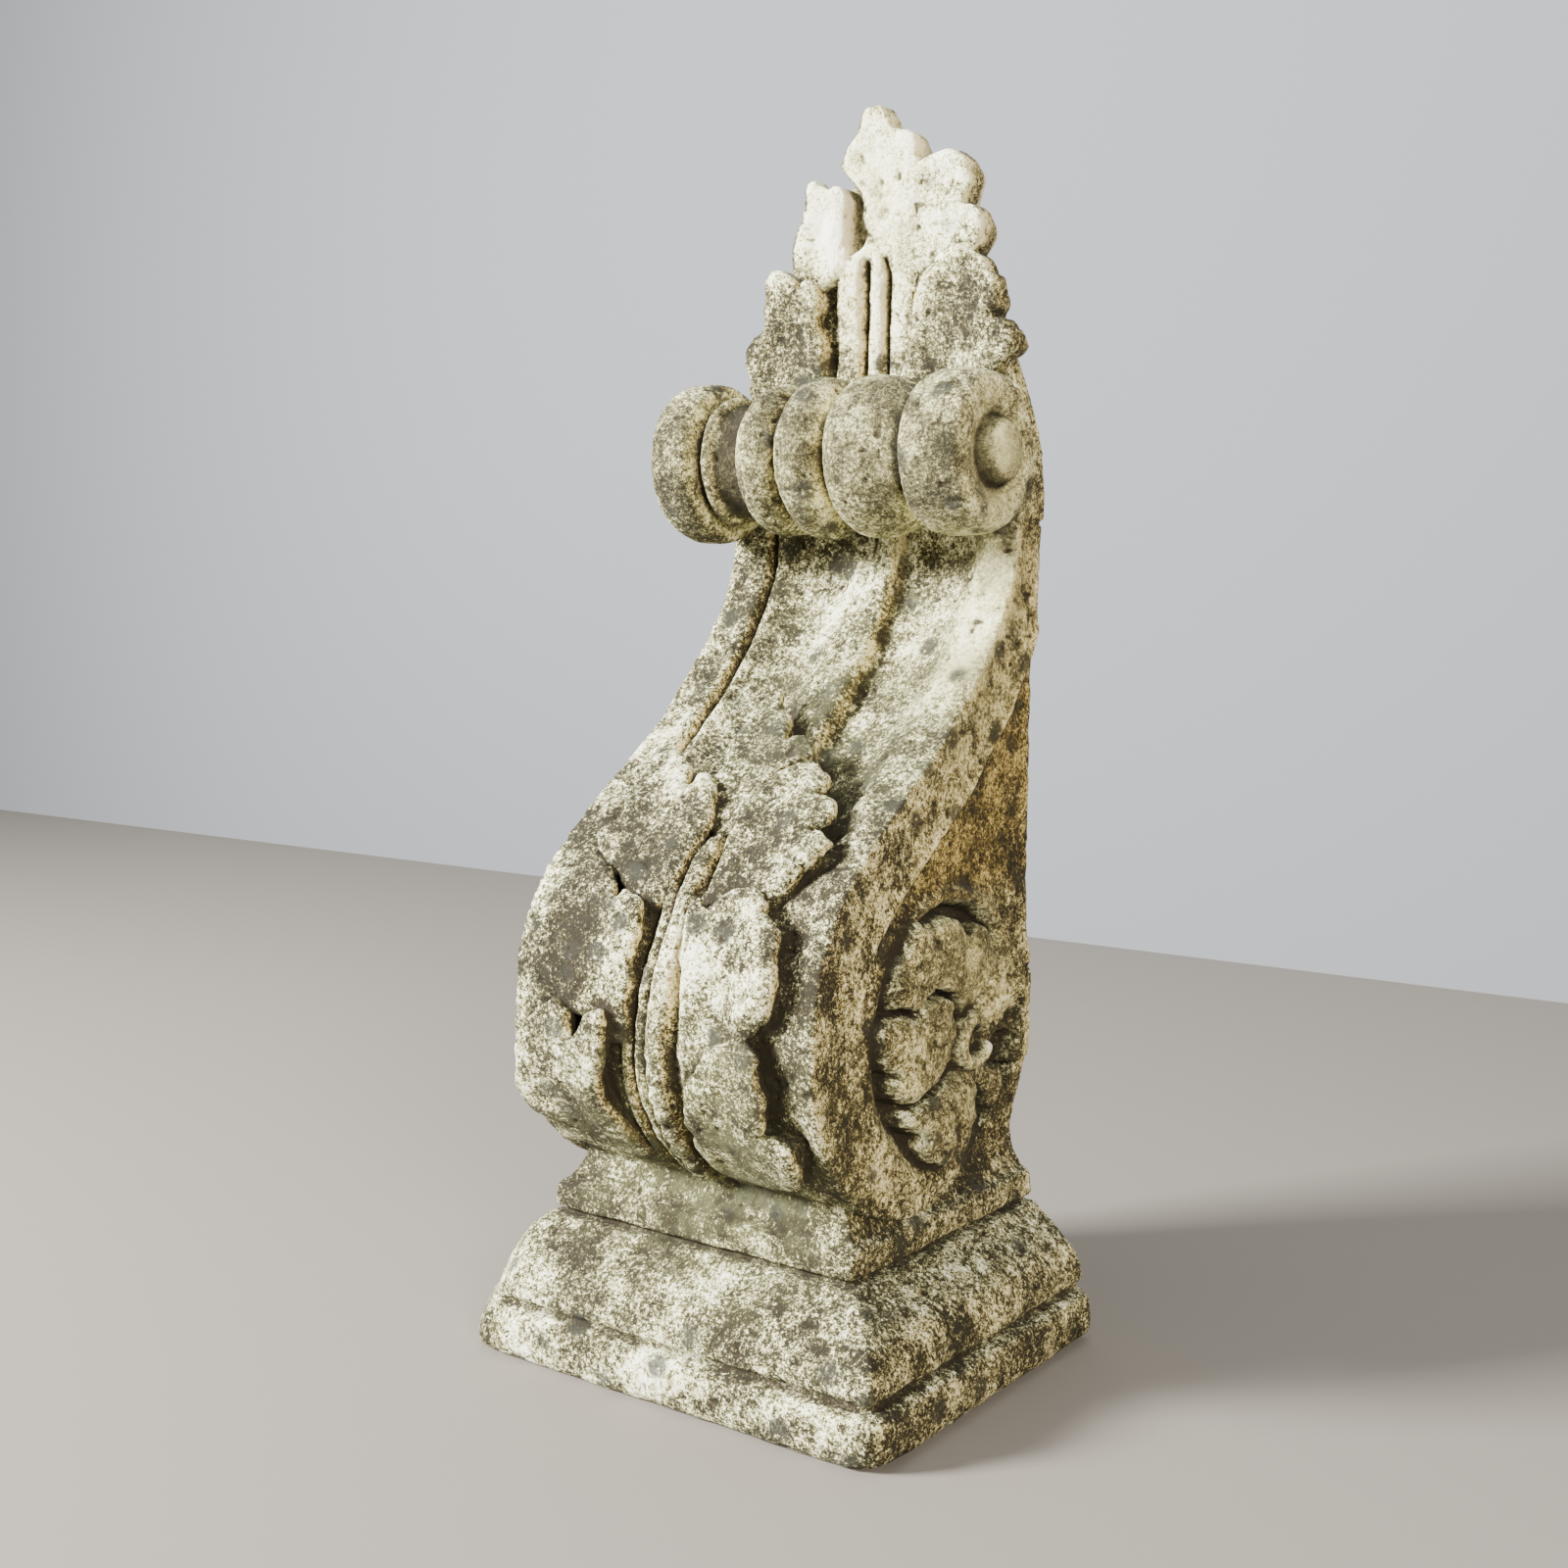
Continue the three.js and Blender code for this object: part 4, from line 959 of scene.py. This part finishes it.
def add_marks(mesh, wide):
    """Writes the material's marks on the mesh: hollows for dirt and painted shade, edges, painted shade
    beside raised parts, painted light and shade on the sides, and the named places of tint.
    """
    places = per_vertex(mesh, "co") * 1000
    points = np.stack([places[:, 0], DEPTH / 2 - places[:, 1], places[:, 2]], 1)
    bend = sampled(wide, (points - GRID_START) / CELL)
    turned = per_vertex(mesh, "normal")[:, 0]
    facing_side = ease(np.abs(turned), 0.55, 0.9)
    x, out, up = np.abs(points[:, 0]), points[:, 1], points[:, 2]
    values = {name: mark(points, spots) for name, spots in MARKS.items()}

    behind, above = (sampled_side(table, points) for table in band_inner())
    # A painted highlight along the S-band's inner arris, and painted light over the band.
    values["pale_and_highlight"] += 0.7 * facing_side * above * bump(behind, 1.5, -1.4)
    values["pale_and_highlight"] += 0.55 * facing_side * ease(-behind, -2, 4) * ease(up, 110, 140)
    # The finial's walls that face +x lose their pale tint and get painted shade.
    finial_shaded_wall = ease(turned, 0.25, 0.65) * ease(up, 470, 490)
    values["pale_and_highlight"] *= 1 - 0.9 * finial_shaded_wall
    values["soot_and_shade"] += finial_shaded_wall * (0.3 + 0.6 * ease(up, 520, 545))
    values["calm"] += 0.8 * ease(1.5 - out, 0, 1)

    # Concave places get dirt and painted shade, less of it on the roller's ends.
    roller_end = ease(x, 80, 84) * ease(up, 386, 396) * ease(474 - up, 0, 8)
    values["hollow_dirt_shade"] = np.clip(bend / 1.6, 0, 1) * (1 - 0.75 * roller_end)
    values["edge"] = np.clip(-bend / 1.3, 0, 1)
    values["gap"] = painted_shades(points)

    roller = ease(ROLLER_RADIUS + 4 - np.hypot(out - ROLLER_OUT, up - ROLLER_UP), 0, 4)
    petal = ease(RECESS_RADIUS + 6 - np.hypot(out - ROSETTE[0], up - ROSETTE[1]), 0, 6)
    raised = petal * ease(sampled_side(SIDE_SHAPE, points), 3 - RECESS_DEPTH, 7 - RECESS_DEPTH)
    # Raised petals get a painted highlight and calmer mottling.
    values["pale_and_highlight"] += 0.2 * raised * (x > 70)
    values["calm"] += 0.3 * raised * (x > 70)
    low = ease(up, 84, 100)
    # The side panel behind the band gets painted shade.
    panel = ease(behind, -4, 2) * ease(up, 215, 235)
    values["soot_and_shade"] += 0.16 * facing_side * panel * low
    # Side-facing faces get painted shade and warm reflected light as a brown wash, weaker on the abacus, the
    # roller and by the rosette, stronger on the panel.
    brown = 0.5 + 0.1 * low + 0.35 * panel * low - 0.1 * petal
    values["side_shade_bounce"] = facing_side * (1 - 0.5 * roller) * brown
    for name, value in values.items():
        layer = mesh.attributes.new(name, "FLOAT", "POINT")
        layer.data.foreach_set("value", value.astype(np.float32))


# Material

class Nodes:
    """Short calls that add shader nodes and wire them up."""

    def __init__(self, material):
        material.use_nodes = True
        self.tree = material.node_tree
        self.tree.nodes.clear()
        self.place = self.new("ShaderNodeTexCoord", {}).outputs["Object"]

    def new(self, kind, inputs, **settings):
        """A node with its settings, and its inputs wired by name or number."""
        node = self.tree.nodes.new(kind)
        for name, value in settings.items():
            setattr(node, name, value)
        for name, value in inputs.items():
            self.wire(node.inputs[name], value)
        return node

    def wire(self, socket, value):
        if isinstance(value, (int, float, tuple)):
            socket.default_value = value
        else:
            self.tree.links.new(value, socket)

    def mark(self, name):
        return self.new("ShaderNodeAttribute", {}, attribute_name=name).outputs["Fac"]

    def noise(self, scale, detail=3.0, rough_part=0.6):
        node = self.new("ShaderNodeTexNoise", {"Vector": self.place, "Scale": scale, "Detail": detail,
                                               "Roughness": rough_part})
        return node.outputs["Fac"]

    def spots(self, scale):
        node = self.new("ShaderNodeTexVoronoi", {"Vector": self.place, "Scale": scale})
        return node.outputs["Distance"], node.outputs["Color"]

    def step(self, value, low, high, top=1.0):
        """The value's share of the way from low to high, held between 0 and top."""
        node = self.new("ShaderNodeMapRange", {"Value": value, "From Min": low, "From Max": high,
                                               "To Max": top}, interpolation_type="SMOOTHSTEP")
        return node.outputs["Result"]

    def maths(self, kind, *values):
        return self.new("ShaderNodeMath", dict(enumerate(values)), operation=kind).outputs[0]

    def blend(self, parts, start):
        """The sum of each value times its weight, from the start value."""
        total = start
        for value, weight in parts:
            total = self.maths("MULTIPLY_ADD", value, weight, total)
        return total

    def product(self, *values):
        total = values[0]
        for value in values[1:]:
            total = self.maths("MULTIPLY", total, value)
        return total

    def ramp(self, value, tones):
        """A colour from its place along the tones."""
        node = self.new("ShaderNodeValToRGB", {"Fac": value})
        stops = node.color_ramp.elements
        while len(stops) < len(tones):
            stops.new(1.0)
        for stop, (place, tone) in zip(stops, tones):
            stop.position = place
            stop.color = tone + (1,)
        return node.outputs["Color"]

    def mix(self, share, a, b, kind="MIX"):
        node = self.new("ShaderNodeMix", {0: share, 6: a, 7: b}, data_type="RGBA", blend_type=kind)
        return node.outputs[2]


# Tones of the weathered face, from the blackest crust to the palest lime.
TONES = [
    (0.18, (0.020, 0.018, 0.010)), (0.33, (0.062, 0.056, 0.027)), (0.44, (0.150, 0.138, 0.068)),
    (0.52, (0.30, 0.283, 0.150)), (0.60, (0.53, 0.515, 0.275)), (0.70, (0.82, 0.815, 0.485)),
    (0.83, (0.96, 0.975, 0.830)),
]
# Tones of the painted warm shade on side faces, of dirt and painted shade in hollows, and of soot crust and
# painted shade.
SIDE_SHADE_OCHRE = (0.95, 0.70, 0.36, 1)
DIRT_AND_SHADE = (0.021, 0.016, 0.008, 1)
CRUST_AND_SHADE_UMBER = (0.024, 0.018, 0.009, 1)
MOSS = (0.22, 0.235, 0.10, 1)
LICHEN = (0.034, 0.034, 0.025, 1)


def concrete():
    """Weathered concrete: grain that turns pale or dark by patches, lichen discs, dirt and painted shade in
    hollows, painted shade beside raised parts, painted highlights, and a painted warm shade on side-facing
    faces.
    """
    material = bpy.data.materials.new("concrete")
    n = Nodes(material)
    hollow_dirt_shade, edge, painted_shade = n.mark("hollow_dirt_shade"), n.mark("edge"), n.mark("gap")
    pale_and_highlight, soot_and_shade, side_shade_bounce = n.mark("pale_and_highlight"), n.mark("soot_and_shade"), n.mark("side_shade_bounce")
    fine = n.noise(520, 4, 0.74)
    grain = n.noise(1300, 2, 0.6)
    coarse = n.noise(150, 5, 0.66)
    patch = n.noise(34, 3, 0.6)
    mottle = n.blend([(fine, 2.1), (grain, 1.3), (coarse, 1.1), (patch, 1.3)], -2.9)
    mottle = n.product(mottle, n.blend([(n.mark("calm"), -0.58)], 1.0))
    # Pale marks are partly painted highlight; dark marks and hollows are partly painted shade; the gaps are
    # painted shade.
    value = n.blend([(pale_and_highlight, 0.22), (soot_and_shade, -0.24), (edge, 0.05), (hollow_dirt_shade, -0.16), (painted_shade, -0.24),
                     (side_shade_bounce, 0.03), (mottle, 1.0)], 0.40)
    colour = n.ramp(value, TONES)

    gap, tone = n.spots(46)
    disc = n.maths("SUBTRACT", 1.0, n.step(gap, 0.18, 0.34))
    disc = n.product(disc, n.step(tone, 0.44, 0.48), n.step(n.noise(380, 3), 0.30, 0.48), 0.9)
    colour = n.mix(disc, colour, LICHEN)
    moss = n.product(n.mark("moss"), n.step(n.noise(70), 0.32, 0.58), 0.38)
    colour = n.mix(moss, colour, MOSS)
    # A brown wash of painted shade and warm reflected light on side-facing faces.
    side_shade_wash = n.product(side_shade_bounce, n.step(n.noise(34, 4, 0.7), 0.10, 0.5))
    colour = n.mix(side_shade_wash, colour, SIDE_SHADE_OCHRE, "MULTIPLY")
    # Dirt and painted shade in hollows, and painted shade beside the leaf lobes, petals and roller valleys.
    sunk = n.maths("MAXIMUM", n.step(hollow_dirt_shade, 0.10, 0.75), n.step(painted_shade, 0.25, 0.9))
    dirt_and_shade = n.product(sunk, n.step(n.noise(120, 4, 0.7), 0.2, 0.55), 0.85)
    colour = n.mix(dirt_and_shade, colour, DIRT_AND_SHADE)
    # Soot crust, partly painted shade on the finial's walls, the side panel and the cove.
    crust_and_shade = n.product(soot_and_shade, n.step(n.noise(120, 6, 0.8), 0.47, 0.60), 0.9)
    colour = n.mix(crust_and_shade, colour, CRUST_AND_SHADE_UMBER)

    shader = n.new("ShaderNodeBsdfPrincipled", {"Base Color": colour})
    shader.inputs["Roughness"].default_value = 0.93
    shader.inputs["Specular IOR Level"].default_value = 0.25
    pit_gap, _ = n.spots(430)
    relief = n.blend([(coarse, 0.8), (fine, 1.0), (grain, 0.5),
                      (n.step(pit_gap, 0.0, 0.24), 0.3)], 0.0)
    raised = n.new("ShaderNodeBump", {"Strength": 0.7, "Distance": 0.0016, "Height": relief})
    n.wire(shader.inputs["Normal"], raised.outputs["Normal"])
    n.new("ShaderNodeOutputMaterial", {"Surface": shader.outputs["BSDF"]})
    return material


def bracket():
    """The casting as one piece, with its marks and its material."""
    mesh, wide = built_mesh()
    piece = thinned(mesh)
    piece.name = "bracket_casting"
    add_marks(piece.data, wide)
    piece.data.shade_smooth()
    piece.data.materials.clear()
    piece.data.materials.append(concrete())
    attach(piece, "root")
    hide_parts(NODE)
    return piece


# Stage, light and camera

FLOOR_TONE = (0.20, 0.18, 0.155, 1)
BACKDROP_TONE = (0.20, 0.21, 0.23, 1)


def stage():
    """A plain pale floor and a plain wall well behind."""
    for name, corners, tone in (
            ("floor", [(-4, -4, 0), (4, -4, 0), (4, 4, 0), (-4, 4, 0)], FLOOR_TONE),
            ("backdrop", [(-6, 1.1, -0.2), (6, 1.1, -0.2), (6, 1.1, 5), (-6, 1.1, 5)], BACKDROP_TONE)):
        mesh = bpy.data.meshes.new(name)
        mesh.from_pydata(corners, [], [(0, 1, 2, 3)])
        surface = bpy.data.materials.new(name)
        surface.use_nodes = True
        shader = surface.node_tree.nodes["Principled BSDF"]
        shader.inputs["Base Color"].default_value = tone
        shader.inputs["Roughness"].default_value = 0.85
        mesh.materials.append(surface)
        added(name, mesh)


# Lights, as (name, place, width, watts, colour); each points at the middle of the bracket.
LIGHTS = [
    ("key", (-1.5, -1.8, 1.25), 0.6, 400, (1.0, 0.99, 0.96)),
    ("fill", (1.7, -1.3, 0.9), 0.6, 72, (1.0, 0.93, 0.80)),
    ("top", (-0.2, -0.3, 2.4), 1.2, 26, (0.93, 0.97, 1.0)),
]


def stood(place, *axes):
    """The matrix of something with these three axes at the place."""
    matrix = Matrix(np.stack(axes, 1).tolist()).to_4x4()
    matrix.translation = place
    return matrix


def facing(place, target):
    """A rotation that turns -Z from the place to the target."""
    away = np.array(place) - np.array(target)
    away /= np.linalg.norm(away)
    side = np.cross([0, 0, 1], away)
    side /= np.linalg.norm(side)
    return stood(place, side, np.cross(away, side), away)


def lighting():
    """The lights and a dim, cool world."""
    for name, place, width, watts, tone in LIGHTS:
        light = bpy.data.lights.new(name, "AREA")
        light.size = width
        light.energy = watts
        light.color = tone
        added(name, light).matrix_world = facing(place, (0, 0, HEIGHT / 2000))
    world = bpy.data.worlds.new("studio")
    world.use_nodes = True
    background = world.node_tree.nodes["Background"]
    background.inputs["Color"].default_value = (0.80, 0.84, 0.90, 1)
    background.inputs["Strength"].default_value = 0.22
    bpy.context.scene.world = world


# The camera, fitted to the photograph's 1600-pixel frame: place in metres, and turns in radians.
CAMERA_PLACE = (0.5178, -0.8005 + DEPTH / 2000, 0.3511)
CAMERA_YAW = 0.6313
CAMERA_PITCH = -0.0897
CAMERA_ROLL = 0.0098
CAMERA_FOCUS = 1884.0
PHOTO_SIZE = 1600
SENSOR = 36.0


def camera():
    """The photograph's camera."""
    yaw, pitch = CAMERA_YAW, CAMERA_PITCH
    ahead = np.array([-math.sin(yaw) * math.cos(pitch), math.cos(yaw) * math.cos(pitch), math.sin(pitch)])
    right = np.array([math.cos(yaw), math.sin(yaw), 0])
    rise = np.cross(right, ahead)
    cosine, sine = math.cos(CAMERA_ROLL), math.sin(CAMERA_ROLL)
    right, rise = right * cosine + rise * sine, rise * cosine - right * sine
    lens = bpy.data.cameras.new("camera")
    lens.sensor_width = SENSOR
    lens.lens = CAMERA_FOCUS / PHOTO_SIZE * SENSOR
    viewer = added("camera", lens)
    viewer.matrix_world = stood(CAMERA_PLACE, right, rise, -ahead)
    bpy.context.scene.camera = viewer


camera()
stage()
lighting()
bracket()
